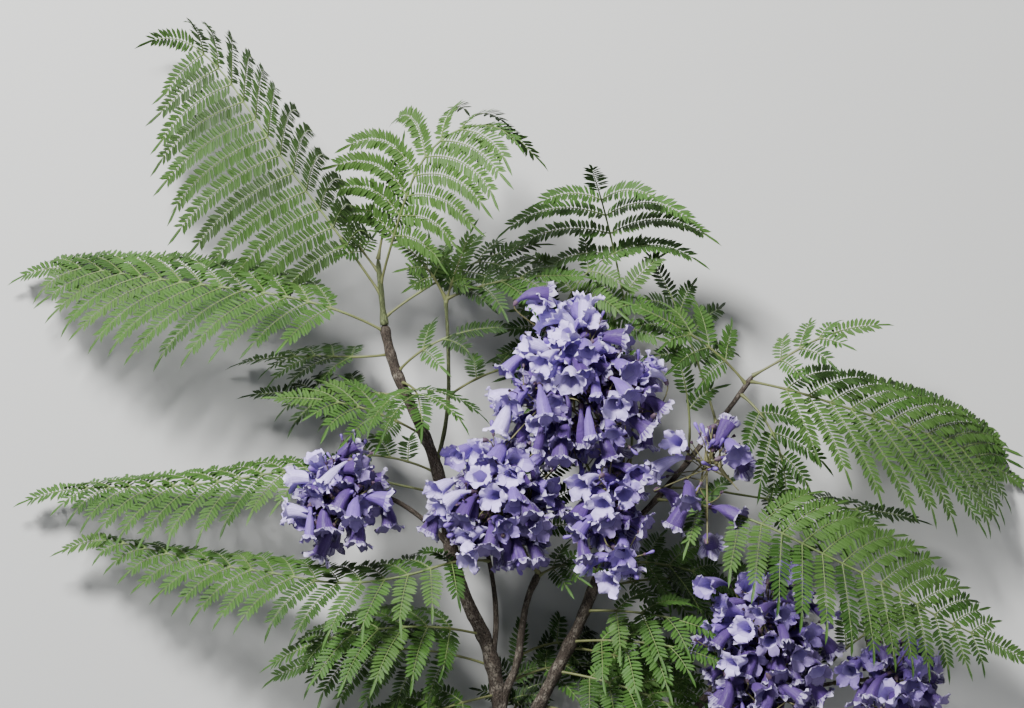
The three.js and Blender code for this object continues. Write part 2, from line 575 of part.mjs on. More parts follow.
for (const leaf of LEAVES) {
  const others = Object.values(stalks).filter((stalk) => stalk.name !== leaf.name);
  const own = [];
  const hasPinna = (shape) => {
    const solid = pinnaAlone(shape);
    const free = isClear(solid, BLADE_GAP, [...placed, ...others, ...own]);
    if (free) own.push({ solid, box: solid.boundingBox() });
    return free;
  };
  const whole = leafSolid(leaf, courses[leaf.name], hasPinna);
  const solid = largestPart(whole.subtract(hollows[leaf.on]));
  delete stalks[leaf.name];
  keepPlace(leaf.name, solid);
  addMesh(leaf.name, solid, LEAF);
}

// The origin is the middle of the box that holds the branch, on the surface that it lies on
const extent = new THREE.Box3().setFromObject(model);
const middle = extent.getCenter(new THREE.Vector3());
model.position.set(-middle.x, -middle.y, -extent.min.z);

export default model;
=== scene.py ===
"""A flowering branch of a jacaranda tree, cut and lying on a level surface."""

import functools
import math

import bpy
import numpy as np
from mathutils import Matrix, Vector
from mathutils.bvhtree import BVHTree


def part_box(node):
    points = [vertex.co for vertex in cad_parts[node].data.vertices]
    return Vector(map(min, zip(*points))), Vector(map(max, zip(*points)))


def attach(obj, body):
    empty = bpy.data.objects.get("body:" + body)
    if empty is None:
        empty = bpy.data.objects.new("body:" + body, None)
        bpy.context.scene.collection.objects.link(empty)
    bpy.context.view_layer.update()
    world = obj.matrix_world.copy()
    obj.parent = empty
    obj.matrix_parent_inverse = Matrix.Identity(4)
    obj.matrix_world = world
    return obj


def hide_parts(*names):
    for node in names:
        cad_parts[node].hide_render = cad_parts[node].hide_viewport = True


bl_info = {
    "name": "Flowering jacaranda branch",
    "version": (1, 0, 0),
    "blender": (4, 5, 0),
    "location": "3D View > Sidebar > Branch",
    "description": "Bark, leaves and flowers for a cut jacaranda branch",
    "category": "Add Mesh",
}

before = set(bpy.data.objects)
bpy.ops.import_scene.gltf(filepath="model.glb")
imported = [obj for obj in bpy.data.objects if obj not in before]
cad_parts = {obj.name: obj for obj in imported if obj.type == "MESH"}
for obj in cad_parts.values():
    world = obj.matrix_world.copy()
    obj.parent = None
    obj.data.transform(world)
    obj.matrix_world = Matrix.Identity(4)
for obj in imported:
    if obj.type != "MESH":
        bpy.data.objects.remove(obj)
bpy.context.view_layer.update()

MM = 0.001

# The growth rule, in millimetres: the same tables and steps as the solids have. Headings are degrees
# from straight up in the photo towards its right, and lifts degrees up from the surface that the
# branch lies on, both from foot to tip; at is the share of its carrier's length where a part starts
COURSE_STEP = 4
REST_HEIGHT = 1.2
STEM_START = (-4, -530, 13)
STEM_SIDES = 8
STEM_RINGS = 3

LIMBS = [
    dict(name="stem_base", headings=[-2, -3], lifts=[8, 18], length=93, radii=[12.5, 11.4]),
    dict(name="bough_left", on="stem_base", at=0.97, headings=[-4, -2, -10, -27, -14, -6, -24, -24, -8],
         lifts=[20, 20, 16, 9, 5, 4, 3, 3, 4], length=500, radii=[8, 4.6]),
    dict(name="bough_right", on="stem_base", at=0.93, headings=[20, 20, 26, 26, 20, 24, 10],
         lifts=[20, 20, 18, 13, 7, 5, 4], length=345, radii=[7.2, 4.4]),
    dict(name="bough_middle", on="stem_base", at=0.99, headings=[4, 0, -6, 26, 5, 11, 31],
         lifts=[30, 20, 18, 18, 15, 11, 12], length=238, radii=[4.7, 3]),
    dict(name="bough_far_right", on="stem_base", at=0.6, headings=[66, 64, 60, 48, 38],
         lifts=[20, 14, 10, 7, 4], length=270, radii=[5.5, 3.8]),
    dict(name="twig_left_cluster", on="bough_left", at=0.53, headings=[-38, -48, -60, -95],
         lifts=[14, 12, 10, 8], length=108, radii=[2.9, 2.1]),
    dict(name="twig_middle", on="bough_left", at=0.285, headings=[14, 0, -8, -14],
         lifts=[5, 8, 9, 9], length=116, radii=[3.1, 2]),
    dict(name="twig_right", on="bough_right", at=0.84, headings=[50, 40, 38, 34],
         lifts=[2, 2, 3, 6], length=218, radii=[3.3, 2.2]),
    dict(name="twig_far_right", on="bough_far_right", at=0.78, headings=[70, 76, 79],
         lifts=[0, 1, 4], length=160, radii=[2.9, 2.1]),
    dict(name="shoot_left", on="bough_left", at=0.7, headings=[18, 0, -4],
         lifts=[8, 5, 3], length=168, radii=[2.3, 1.6]),
    dict(name="shoot_top", on="bough_left", at=1, headings=[-6, -5],
         lifts=[4, 8], length=66, radii=[3.1, 2.1]),
]

# Pinnae: their spacing and size on a full leaf, how they lean in degrees, fill out, droop and rise,
# and where the first pair stands in its step
PINNA_PITCH = 23
PINNA_FULL_LENGTH = 70
PINNA_LEAN = [20, 56]
PINNA_SPAN = [0.18, 0.9]
PINNA_FULLNESS = 0.8
PINNA_DROOP = 0.55
PINNA_RISE = 0.12
PINNA_OFFSET = 0.45
WIDEST_PLACE = 0.42
END_PINNA = 62
RACHIS_RADII = [1.35, 0.75]

# bare is the share of a leaf's length below its first pinnae, pinna the length of its longest, and
# across where its right side points; tone is its main green, with the light and shade on the leaf
# painted in: the lit green, a yellower green of young leaves that also stands for painted light
# glowing through leaves, a green painted in half shade and one painted in deep shade; turned is
# where the leaflets on the tip's side of each rib point, if they turn to the light
LEAVES = [
    dict(name="leaf_top_left", on="shoot_top", at=0.45, headings=[-34, -36, -37, -35, -34, -52, -116],
         lifts=[10, 0, -8, -14, -18, -22, -20], length=386, bare=0.13, pinna=138,
         lean=[16, 26], droop=0.7, rise=-0.36, across=[-0.65, -0.47, -0.6], tone="painted_half_shade"),
    dict(name="leaf_up_right", on="shoot_top", at=0.6, headings=[14, 17, 18, 24, 48, 82, 126, 150],
         lifts=[20, 25, 22, 16, 8, 0, -6, -10], length=285, bare=0.16, pinna=118,
         lean=[30, 46], droop=1, across=[0.8, -0.1, 0.62], tone="young_and_painted_glow"),
    dict(name="leaf_young", on="shoot_top", at=1, headings=[10, 14, 8], lifts=[5, 0, -5],
         length=125, bare=0.25, pinna=44, across=[0.8, 0, -0.5], tone="young_and_painted_glow"),
    dict(name="leaf_young_left", on="shoot_top", at=0.8, headings=[-40, -24], lifts=[0, -10],
         length=96, bare=0.25, pinna=34, across=[0.7, 0.2, -0.6], tone="young_and_painted_glow"),
    dict(name="leaf_left", on="bough_left", at=0.985, headings=[-60, -74, -82, -83, -81, -84, -118],
         lifts=[10, 0, -14, -22, -24, -18, -4], length=408, bare=0.12, pinna=118,
         lean=[36, 60], droop=0.7, across=[0, 0.72, -0.69], tone="lit"),
    dict(name="leaf_left_inner", on="bough_left", at=0.94, headings=[-98, -88, -92, -105],
         lifts=[-36, -32, -28, -20], length=190, bare=0.2, pinna=62, across=[0, 0.4, -0.9], tone="painted_half_shade"),
    dict(name="leaf_inner_right", on="shoot_top", at=0.1, headings=[50, 60, 68, 85],
         lifts=[-12, -10, -6, -5], length=185, bare=0.2, pinna=76, across=[0.3, -0.6, 0.7], tone="painted_half_shade"),
    dict(name="leaf_centre", on="shoot_left", at=1, headings=[66, 82, 96],
         lifts=[6, 0, -16], length=150, bare=0.2, pinna=62, across=[0, -0.65, 0.75], tone="painted_half_shade"),
    dict(name="leaf_facing", on="bough_left", at=0.88, headings=[95, 165, 178],
         lifts=[62, 66, 32], length=118, bare=0.25, pinna=88, droop=0.9, across=[-1, 0, 0], tone="painted_half_shade"),
    dict(name="leaf_back_left", on="bough_left", at=0.85, headings=[-84, -90, -96],
         lifts=[-20, -26, -14], length=180, bare=0.25, pinna=62, across=[0, 0.6, -0.8], tone="painted_shade"),
    dict(name="leaf_left_low", on="bough_left", at=0.64,
         headings=[-80, -78, -84, -101, -96, -90, -94, -116],
         lifts=[-34, -14, 0, -2, -8, -12, -10, -2], length=446, bare=0.3, pinna=86,
         lean=[38, 62], droop=0.9, across=[0, 0.66, -0.75], tone="lit"),
    dict(name="leaf_left_lowest", on="twig_middle", at=0.88,
         headings=[-80, -108, -96, -80, -84, -77, -78, -128],
         lifts=[50, 20, -8, -20, -22, -18, -12, -4], length=476, bare=0.08, pinna=80,
         lean=[18, 62], droop=0.9, across=[0, 0.66, -0.75], tone="lit"),
    dict(name="leaf_base_left", on="bough_left", at=0.27, headings=[-68, -95, -118],
         lifts=[12, -5, -15], length=240, bare=0.15, pinna=84,
         droop=0.8, across=[0, 0.75, -0.65], tone="painted_half_shade"),
    dict(name="leaf_base_low", on="bough_left", at=0.16, headings=[-88, -108, -126],
         lifts=[5, -8, -14], length=240, bare=0.15, pinna=84,
         droop=0.8, across=[0, 0.75, -0.65], tone="painted_half_shade"),
    dict(name="leaf_foot_left", on="bough_left", at=0.05, headings=[-95, -120, -138],
         lifts=[20, 2, -14], length=270, bare=0.2, pinna=88, across=[-0.3, 0.7, -0.6], tone="painted_half_shade"),
    dict(name="leaf_top_right", on="bough_right", at=0.98, headings=[8, 0, -10, -16, -24],
         lifts=[-26, -10, 4, 48, 72], length=402, bare=0.6, pinna=126,
         lean=[12, 40], droop=0.9, across=[-1, 0, -0.1], turned=[0, -0.7, 0.7], tone="lit"),
    dict(name="leaf_behind_top", on="bough_right", at=0.94, headings=[-8, -20, -35, -40],
         lifts=[-40, -16, 0, 4], length=285, bare=0.45, pinna=84, across=[0.68, 0.5, -0.3], tone="painted_half_shade"),
    dict(name="leaf_node_left", on="twig_right", at=0.95, headings=[-38, -58, -68],
         lifts=[14, 10, -4], length=150, bare=0.15, pinna=64, across=[0.35, 0.6, -0.6], tone="lit"),
    dict(name="leaf_behind_right", on="twig_right", at=0.72, headings=[-14, -20, -32],
         lifts=[-28, -12, 4], length=200, bare=0.3, pinna=76, across=[0.6, 0.3, -0.6], tone="painted_shade"),
    dict(name="leaf_node_up", on="twig_right", at=1, headings=[62, 58, 74, 95],
         lifts=[10, 4, -10, -14], length=150, bare=0.15, pinna=52, across=[0, -0.7, 0.7], tone="lit"),
    dict(name="leaf_node_down", on="twig_right", at=0.9, headings=[128, 165, 188],
         lifts=[24, 0, -12], length=150, bare=0.12, pinna=72, across=[-0.8, 0, 0.5], tone="painted_half_shade"),
    dict(name="leaf_right", on="twig_right", at=0.97, headings=[100, 108, 107, 110, 118, 126],
         lifts=[10, -8, -22, -32, -34, -14], length=344, bare=0.08, pinna=124,
         lean=[34, 56], droop=0.6, across=[-0.12, -0.78, 0.6], tone="young_and_painted_glow"),
    dict(name="leaf_right_behind", on="twig_right", at=0.35, headings=[90, 100, 98, 94, 110],
         lifts=[-32, -14, -6, 0, -8], length=275, bare=0.36, pinna=66,
         droop=0.9, across=[0, -0.6, 0.8], tone="painted_shade"),
    dict(name="leaf_right_low", on="twig_right", at=0.28, headings=[92, 104, 117, 116, 122, 114, 120],
         lifts=[42, 26, 4, -10, -18, -20, -10], length=440, bare=0.1, pinna=88,
         lean=[10, 34], droop=0.5, across=[-0.4, -0.72, 0.56], tone="young_and_painted_glow"),
    dict(name="leaf_under_right", on="bough_right", at=0.77, headings=[84, 105, 125],
         lifts=[-24, -22, -18], length=175, bare=0.2, pinna=66, across=[-0.3, -0.6, 0.6], tone="painted_half_shade"),
    dict(name="leaf_between", on="bough_middle", at=0.62, headings=[60, 95, 130],
         lifts=[-48, -36, -18], length=155, bare=0.3, pinna=58, across=[0, -0.7, 0.7], tone="painted_shade"),
    dict(name="leaf_right_inner", on="bough_right", at=0.68, headings=[72, 92, 112],
         lifts=[-32, -24, -12], length=185, bare=0.2, pinna=72, across=[0, -0.7, 0.7], tone="lit"),
    dict(name="leaf_base_right", on="bough_right", at=0.5, headings=[96, 116, 136],
         lifts=[-20, -20, -12], length=195, bare=0.2, pinna=78, across=[-0.2, -0.7, 0.7], tone="lit"),
    dict(name="leaf_foot_right", on="bough_right", at=0.3, headings=[98, 120, 142],
         lifts=[-4, -12, -16], length=165, bare=0.25, pinna=62, across=[-0.2, -0.7, 0.7], tone="painted_half_shade"),
    dict(name="leaf_far_right_foot", on="bough_far_right", at=0.5, headings=[122, 142, 160],
         lifts=[16, -6, -14], length=245, bare=0.2, pinna=84, across=[-0.5, -0.5, 0.6], tone="painted_half_shade"),
    dict(name="leaf_far_right_up", on="bough_far_right", at=0.93, headings=[16, 36, 58],
         lifts=[-30, -12, 0], length=205, bare=0.25, pinna=70, across=[0.6, -0.5, 0.6], tone="painted_half_shade"),
    dict(name="leaf_far_right_tip", on="twig_far_right", at=0.6, headings=[152, 132, 118],
         lifts=[-14, -10, -4], length=235, bare=0.2, pinna=78, across=[-0.5, -0.5, 0.6], tone="painted_half_shade"),
]

# Lesser leaves between them, on the same limbs and by the same rule
LESSER_LEAVES = [
    dict(name="lesser_low_left", on="bough_left", at=0.34, headings=[-72, -90, -104, -128],
         lifts=[40, 16, -6, -16], length=240, bare=0.12, pinna=86, lean=[22, 58], droop=0.9,
         across=[0, 0.66, -0.75], tone="lit"),
    dict(name="lesser_lowest_left", on="bough_left", at=0.21, headings=[-98, -112, -128],
         lifts=[38, 12, -12], length=215, bare=0.15, pinna=80, droop=0.9, across=[0, 0.7, -0.65], tone="lit"),
    dict(name="lesser_foot", on="stem_base", at=0.8, headings=[-70, -84, -100],
         lifts=[20, 4, -8], length=190, bare=0.2, pinna=70, across=[0, 0.7, -0.65], tone="painted_half_shade"),
    dict(name="lesser_under_middle", on="bough_middle", at=0.5, headings=[64, 92, 118],
         lifts=[-26, -22, -12], length=160, bare=0.2, pinna=66, droop=0.8, across=[0, -0.7, 0.7], tone="painted_half_shade"),
    dict(name="lesser_right_low", on="bough_right", at=0.42, headings=[96, 110, 130],
         lifts=[34, 8, -12], length=195, bare=0.15, pinna=76, droop=0.8, across=[0, -0.7, 0.7], tone="lit"),
    dict(name="lesser_right", on="bough_right", at=0.62, headings=[84, 100, 120],
         lifts=[36, 12, -8], length=165, bare=0.15, pinna=70, droop=0.8, across=[0, -0.7, 0.7], tone="lit"),
    dict(name="lesser_left", on="bough_left", at=0.76, headings=[-56, -76, -96],
         lifts=[30, 6, -12], length=170, bare=0.15, pinna=64,
         lean=[30, 58], across=[0, 0.7, -0.7], tone="lit"),
    dict(name="lesser_inner", on="bough_left", at=0.9, headings=[40, 70, 96],
         lifts=[26, 4, -12], length=135, bare=0.2, pinna=56, across=[0, -0.7, 0.7], tone="painted_half_shade"),
    dict(name="lesser_shoot", on="shoot_left", at=1, headings=[-24, -44, -70],
         lifts=[20, 4, -8], length=105, bare=0.2, pinna=42, across=[0.5, 0.6, -0.5], tone="young_and_painted_glow"),
    dict(name="lesser_shoot_tip", on="shoot_left", at=0.98, headings=[16, 24], lifts=[10, 0],
         length=84, bare=0.2, pinna=34, across=[0.7, -0.3, 0.5], tone="young_and_painted_glow"),
    dict(name="lesser_up", on="twig_right", at=0.5, headings=[8, -8, -22], lifts=[34, 10, -2],
         length=135, bare=0.15, pinna=58, across=[0.8, 0.2, -0.4], tone="painted_half_shade"),
    dict(name="lesser_middle_tip", on="bough_middle", at=0.98, headings=[50, 96, 140], lifts=[20, 6, -14],
         length=96, bare=0.15, pinna=46, across=[0, -0.7, 0.7], tone="lit"),
    dict(name="lesser_gap", on="bough_middle", at=0.95, headings=[14, 2, -6], lifts=[-24, -4, 8],
         length=185, bare=0.25, pinna=76, across=[0.8, 0.2, -0.3], tone="painted_half_shade"),
    dict(name="lesser_right_front", on="bough_right", at=0.52, headings=[82, 96, 118], lifts=[44, 14, -10],
         length=185, bare=0.15, pinna=74, droop=0.9, across=[0, -0.7, 0.7], tone="lit"),
    dict(name="lesser_behind_shoot", on="shoot_left", at=0.42, headings=[52, 74, 96], lifts=[-32, -14, 0],
         length=135, bare=0.2, pinna=56, across=[0, -0.7, 0.7], tone="painted_half_shade"),
    dict(name="lesser_behind_left", on="bough_left", at=0.68, headings=[-62, -86, -112], lifts=[-34, -16, 0],
         length=150, bare=0.2, pinna=60, across=[0, 0.7, -0.7], tone="painted_half_shade"),
    dict(name="lesser_behind_middle", on="bough_left", at=0.5, headings=[28, 38, 52], lifts=[-30, -10, 2],
         length=140, bare=0.15, pinna=58, across=[0.6, -0.6, 0.5], tone="painted_half_shade"),
    dict(name="lesser_trunk_left", on="bough_left", at=0.14, headings=[16, 12, 4], lifts=[-34, -12, 4],
         length=125, bare=0.15, pinna=50, across=[0.8, -0.2, 0.5], tone="painted_shade"),
    dict(name="lesser_trunk_right", on="bough_middle", at=0.3, headings=[36, 28, 16], lifts=[-40, -16, 2],
         length=120, bare=0.15, pinna=46, across=[0.8, -0.3, 0.5], tone="painted_shade"),
    dict(name="lesser_far_low", on="bough_far_right", at=0.3, headings=[34, 26, 18], lifts=[32, 12, -4],
         length=155, bare=0.2, pinna=64, across=[0.8, -0.3, -0.4], tone="lit"),
    dict(name="lesser_far", on="bough_far_right", at=0.6, headings=[2, 0, 12], lifts=[26, 8, -2],
         length=155, bare=0.2, pinna=62, across=[0.8, 0, -0.5], tone="painted_half_shade"),
    dict(name="lesser_far_tip", on="twig_far_right", at=0.85, headings=[36, 56, 76], lifts=[-14, -4, 2],
         length=150, bare=0.15, pinna=60, across=[0.5, -0.6, 0.6], tone="painted_half_shade"),
    dict(name="lesser_behind_top", on="bough_right", at=0.9, headings=[-34, -26, -12, 6, 50, 84],
         lifts=[-30, -12, 2, 8, 4, -8], length=356, bare=0.6, pinna=74, lean=[10, 44], droop=0.7,
         across=[0.6, -0.6, 0.5], tone="young_and_painted_glow"),
    dict(name="lesser_over_top", on="bough_right", at=0.96, headings=[-22, -12, 6, 26, 60],
         lifts=[-30, -10, 4, 8, 0], length=284, bare=0.5, pinna=72, lean=[14, 46], droop=0.7,
         across=[0.7, -0.4, 0.4], tone="lit"),
]

# Flower clusters: a shell round each centre, narrower upwards by its taper, with flowers in a golden
# spiral; a flower's twig leaves the axis a little below it, between the two forks
CAD_FLOWER_LENGTH = 44
FLOWER_NOD = 0.45
FLOWER_UNEVEN = 0.35
SHELL_DEPTH = 0.16
GOLDEN_ANGLE = math.pi * (3 - math.sqrt(5))
AXIS_RADII = [2.5, 1.2]
AXIS_FORKS = [0.12, 0.97]
FORK_BELOW = 0.1
SEED = 4711
RANDOM_FACTOR = 16807
RANDOM_RANGE = 2147483647

CLUSTERS = [
    dict(name="flowers_left", on="twig_left_cluster", headings=[-70, -60], lifts=[35, 30], length=50,
         centre=[-174, -148, 150], radii=[66, 66, 58], taper=0, flowers=18),
    dict(name="flowers_top", on="bough_right", headings=[-12, -28, -30], lifts=[16, 12, 6], length=190,
         centre=[62, -34, 150], radii=[85, 94, 70], taper=0.36, flowers=40),
    dict(name="flowers_middle", on="bough_middle", headings=[-40, -35], lifts=[32, 25], length=95,
         centre=[-18, -150, 150], radii=[74, 74, 58], taper=0.1, flowers=24),
    dict(name="flowers_front", on="bough_right", at=0.8, headings=[-30, -20], lifts=[58, 40], length=62,
         centre=[98, -160, 168], radii=[46, 78, 42], taper=0, flowers=15),
    dict(name="flowers_right", on="twig_right", at=0.62, headings=[150, 140], lifts=[48, 20], length=70,
         centre=[192, -128, 152], radii=[60, 70, 44], taper=0, flowers=11),
    dict(name="flowers_low_right", on="bough_far_right", headings=[50, 40], lifts=[50, 40], length=70,
         centre=[255, -302, 122], radii=[80, 90, 58], taper=0, flowers=28),
    dict(name="flowers_far_right", on="twig_far_right", headings=[80, 82], lifts=[40, 30], length=70,
         centre=[384, -334, 112], radii=[58, 50, 46], taper=0, flowers=13),
]

UP = np.array([0.0, 0.0, 1.0])
DOWN_ON_TREE = np.array([0.0, -1.0, 0.0])


def unit(vectors):
    vectors = np.asarray(vectors, float)
    return vectors / np.maximum(np.linalg.norm(vectors, axis=-1, keepdims=True), 1e-9)


def blend(pair, share):
    return pair[0] + (pair[1] - pair[0]) * share


def half_up(value):
    """Rounds as the solids' rule does."""
    return int(math.floor(value + 0.5))


def sample(values, share):
    """The value part way through a list, between its neighbours."""
    place = min(max(share, 0), 1) * (len(values) - 1)
    index = min(int(place), len(values) - 2)
    return blend(values[index:index + 2], place - index)


def direction(heading, lift):
    """Where a heading and a lift in degrees point."""
    turn, rise = math.radians(heading), math.radians(lift)
    level = math.cos(rise)
    return np.array([math.sin(turn) * level, math.cos(turn) * level, math.sin(rise)])


def even_turns(sides):
    return np.arange(sides) * 2 * math.pi / sides


class Course:
    """The line that a limb, a leaf or a cluster's axis follows."""

    def __init__(self, start, plan):
        self.length = plan["length"]
        steps = max(2, half_up(self.length / COURSE_STEP))
        points = [np.array(start, float)]
        for step in range(steps):
            share = (step + 0.5) / steps
            ahead = direction(sample(plan["headings"], share), sample(plan["lifts"], share))
            spot = points[-1] + ahead * self.length / steps
            spot[2] = max(spot[2], REST_HEIGHT)
            points.append(spot)
        self.points = np.array(points)

    def at(self, share):
        share = np.asarray(share, float)
        last = len(self.points) - 1
        place = share * last
        index = np.clip(np.floor(place).astype(int), 0, last - 1)
        start = self.points[index]
        return start + (self.points[index + 1] - start) * (place - index)[..., None]

    def along(self, share):
        share = np.asarray(share, float)
        reach = 0.5 / (len(self.points) - 1)
        return unit(self.at(np.minimum(share + reach, 1)) - self.at(np.maximum(share - reach, 0)))


COURSES = {}
for plan in LIMBS + LEAVES + LESSER_LEAVES + CLUSTERS:
    carrier = COURSES.get(plan.get("on"))
    foot = STEM_START if carrier is None else carrier.at(plan.get("at", 1))
    COURSES[plan["name"]] = Course(foot, plan)


def growth_shift():
    """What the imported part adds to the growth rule's places: its stem's corner tells."""
    course, radii = COURSES["stem_base"], LIMBS[0]["radii"]
    share = np.linspace(0, 1, STEM_RINGS + 1)
    ahead = course.along(share)
    beside = unit(np.cross(ahead, UP))
    above = np.cross(beside, ahead)
    turn = even_turns(STEM_SIDES)
    ring = np.sin(turn)[None, :, None] * beside[:, None] + np.cos(turn)[None, :, None] * above[:, None]
    skin = course.at(share)[:, None] + ring * blend(radii, share)[:, None, None]
    return np.array(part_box("stem_base")[0]) / MM - skin.min(axis=(0, 1))


SHIFT = growth_shift()


def to_row(points):
    """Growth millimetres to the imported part's metres."""
    return (np.asarray(points, float) + SHIFT) * MM


class CadTest:
    """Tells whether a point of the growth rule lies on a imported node."""

    def __init__(self, node):
        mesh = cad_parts[node].data
        corners = [vertex.co.copy() for vertex in mesh.vertices]
        faces = [tuple(polygon.vertices) for polygon in mesh.polygons]
        self.tree = BVHTree.FromPolygons(corners, faces)

    def holds(self, point, within):
        return self.tree.find_nearest(Vector(to_row(point)), within * MM)[0] is not None


# Sizes and colours that a user would change
COLOR = dict(size=3, subtype="COLOR", min=0, max=1)


class BranchBarkSettings(bpy.types.PropertyGroup):
    """Bark of the stem, boughs and twigs."""

    relief: bpy.props.FloatProperty(
        name="Relief", description="Depth of the lumps in the bark", default=0.0007, unit="LENGTH")
    collar: bpy.props.FloatProperty(
        name="Collar", description="How much a limb widens at its foot",
        default=0.3, min=0, subtype="FACTOR")
    bark_color: bpy.props.FloatVectorProperty(
        name="Bark", description="Main colour of the bark", default=(0.072, 0.056, 0.044), **COLOR)
    patch_color: bpy.props.FloatVectorProperty(
        name="Bark patches", description="Colour of the pale patches", default=(0.205, 0.18, 0.145), **COLOR)
    shoot_color: bpy.props.FloatVectorProperty(
        name="Young shoots", description="Colour of the green shoots", default=(0.11, 0.13, 0.058), **COLOR)
    wood_color: bpy.props.FloatVectorProperty(
        name="Cut wood", description="Colour of the wood at the cut end",
        default=(0.47, 0.36, 0.225), **COLOR)


class BranchLeafSettings(bpy.types.PropertyGroup):
    """Leaflets and stalks of the leaves."""

    leaflet_length: bpy.props.FloatProperty(
        name="Leaflet length", description="Length of a full leaflet", default=0.0135, unit="LENGTH")
    leaflet_width: bpy.props.FloatProperty(
        name="Leaflet width", description="Width of a full leaflet", default=0.0037, unit="LENGTH")
    leaflet_pitch: bpy.props.FloatProperty(
        name="Leaflet pitch", description="Distance between leaflets on a rib", default=0.0039, unit="LENGTH")
    end_leaflet: bpy.props.FloatProperty(
        name="End leaflet", description="Length of the pointed leaflet that ends a pinna",
        default=0.025, unit="LENGTH")
    # The lit, middle and deep greens are one leaf green with painted sunlight, painted half shade and painted
    # shade; the fresh green is the yellower green of young leaves, and on older ones painted light glowing
    # through them
    lit_color: bpy.props.FloatVectorProperty(
        name="Lit green", description="Colour of the upper leaves", default=(0.037, 0.094, 0.015), **COLOR)
    fresh_color: bpy.props.FloatVectorProperty(
        name="Fresh green", description="Colour of the young leaves", default=(0.047, 0.104, 0.020), **COLOR)
    mid_color: bpy.props.FloatVectorProperty(
        name="Middle green", description="Colour of the inner leaves", default=(0.021, 0.060, 0.008), **COLOR)
    deep_color: bpy.props.FloatVectorProperty(
        name="Deep green", description="Colour of the shaded leaves", default=(0.011, 0.032, 0.005), **COLOR)
    stalk_color: bpy.props.FloatVectorProperty(
        name="Leaf stalk", description="Colour of the leaf stalks", default=(0.125, 0.135, 0.052), **COLOR)
    rib_color: bpy.props.FloatVectorProperty(
        name="Rib", description="Colour of the ribs between leaflets", default=(0.115, 0.165, 0.05), **COLOR)


class BranchFlowerSettings(bpy.types.PropertyGroup):
    """Flowers, buds and their twigs."""

    flower_length: bpy.props.FloatProperty(
        name="Flower length", description="Length of the trumpet without its lobes",
        default=0.037, unit="LENGTH")
    mouth_radius: bpy.props.FloatProperty(
        name="Mouth radius", description="Radius of the trumpet at its mouth", default=0.0085, unit="LENGTH")
    lobe_length: bpy.props.FloatProperty(
        name="Lobe length", description="Length of a petal lobe", default=0.0105, unit="LENGTH")
    # Pale violet is painted sunlight on flowers that face the light, deep violet painted shade on flowers
    # inside and in shaded clusters; violet is the flowers' own colour, which the buds share too
    pale_color: bpy.props.FloatVectorProperty(
        name="Pale violet", description="Colour of the sunlit flowers", default=(0.60, 0.49, 0.92), **COLOR)
    violet_color: bpy.props.FloatVectorProperty(
        name="Violet", description="Colour of most flowers", default=(0.185, 0.106, 0.42), **COLOR)
    deep_color: bpy.props.FloatVectorProperty(
        name="Deep violet", description="Colour of the inner flowers", default=(0.085, 0.040, 0.19), **COLOR)
    throat_color: bpy.props.FloatVectorProperty(
        name="Throat", description="Colour inside the trumpet", default=(0.54, 0.44, 0.78), **COLOR)
    twig_color: bpy.props.FloatVectorProperty(
        name="Flower twig", description="Colour of the twigs that carry flowers",
        default=(0.125, 0.12, 0.05), **COLOR)
    calyx_color: bpy.props.FloatVectorProperty(
        name="Calyx", description="Colour of the cups that hold the flowers",
        default=(0.10, 0.06, 0.09), **COLOR)


class BranchStageSettings(bpy.types.PropertyGroup):
    """Camera, lights and floor."""

    camera_distance: bpy.props.FloatProperty(
        name="Camera distance", description="From the camera to the middle of the branch",
        default=4.5, unit="LENGTH")
    frame_width: bpy.props.FloatProperty(
        name="Frame width", description="Width that the picture covers at the branch",
        default=1.024, unit="LENGTH")
    key_power: bpy.props.FloatProperty(
        name="Key light", description="Power of the main light", default=260, unit="POWER")
    fill_power: bpy.props.FloatProperty(
        name="Fill light", description="Power of the second light", default=14, unit="POWER")
    sky_strength: bpy.props.FloatProperty(
        name="Sky", description="Strength of the even light from all around", default=0.2, min=0)
    floor_color: bpy.props.FloatVectorProperty(
        name="Floor", description="Colour of the floor", default=(0.52, 0.52, 0.505), **COLOR)


# Materials
VEIN_GREEN = (0.42, 0.52, 0.24)
UNDER_GREEN = (0.10, 0.17, 0.05)
# Pale violet of the lobes' streaks, and of the painted highlight along their edges
PALE_STREAK_AND_PAINTED_HIGHLIGHT = (0.80, 0.75, 0.98)
SHEEN_TINT = (0.85, 0.82, 1.0)


def shade(color, share):
    return tuple(share * value for value in color)


def feed(tree, socket, value):
    """Gives an input what another socket puts out, or a plain value."""
    if isinstance(value, bpy.types.NodeSocket):
        tree.links.new(value, socket)
    elif socket.type == "RGBA":
        socket.default_value = (*value[:3], 1)
    else:
        socket.default_value = value


def add_node(tree, kind, inputs=None, **settings):
    """A shader node with its settings, and its inputs by name as sockets or plain values."""
    node = tree.nodes.new(f"ShaderNode{kind}")
    for name, value in settings.items():
        setattr(node, name, value)
    for name, value in (inputs or {}).items():
        feed(tree, node.inputs[name], value)
    return node


def mix_colors(tree, factor, first, second):
    """A colour mix; factor, first and second are sockets or plain values."""
    node = add_node(tree, "Mix", data_type="RGBA")
    for index, value in ((0, factor), (6, first), (7, second)):
        feed(tree, node.inputs[index], value)
    return node.outputs[2]


def math_node(tree, how, first, second=None):
    node = add_node(tree, "Math", operation=how)
    feed(tree, node.inputs[0], first)
    if second is not None:
        feed(tree, node.inputs[1], second)
    return node.outputs[0]


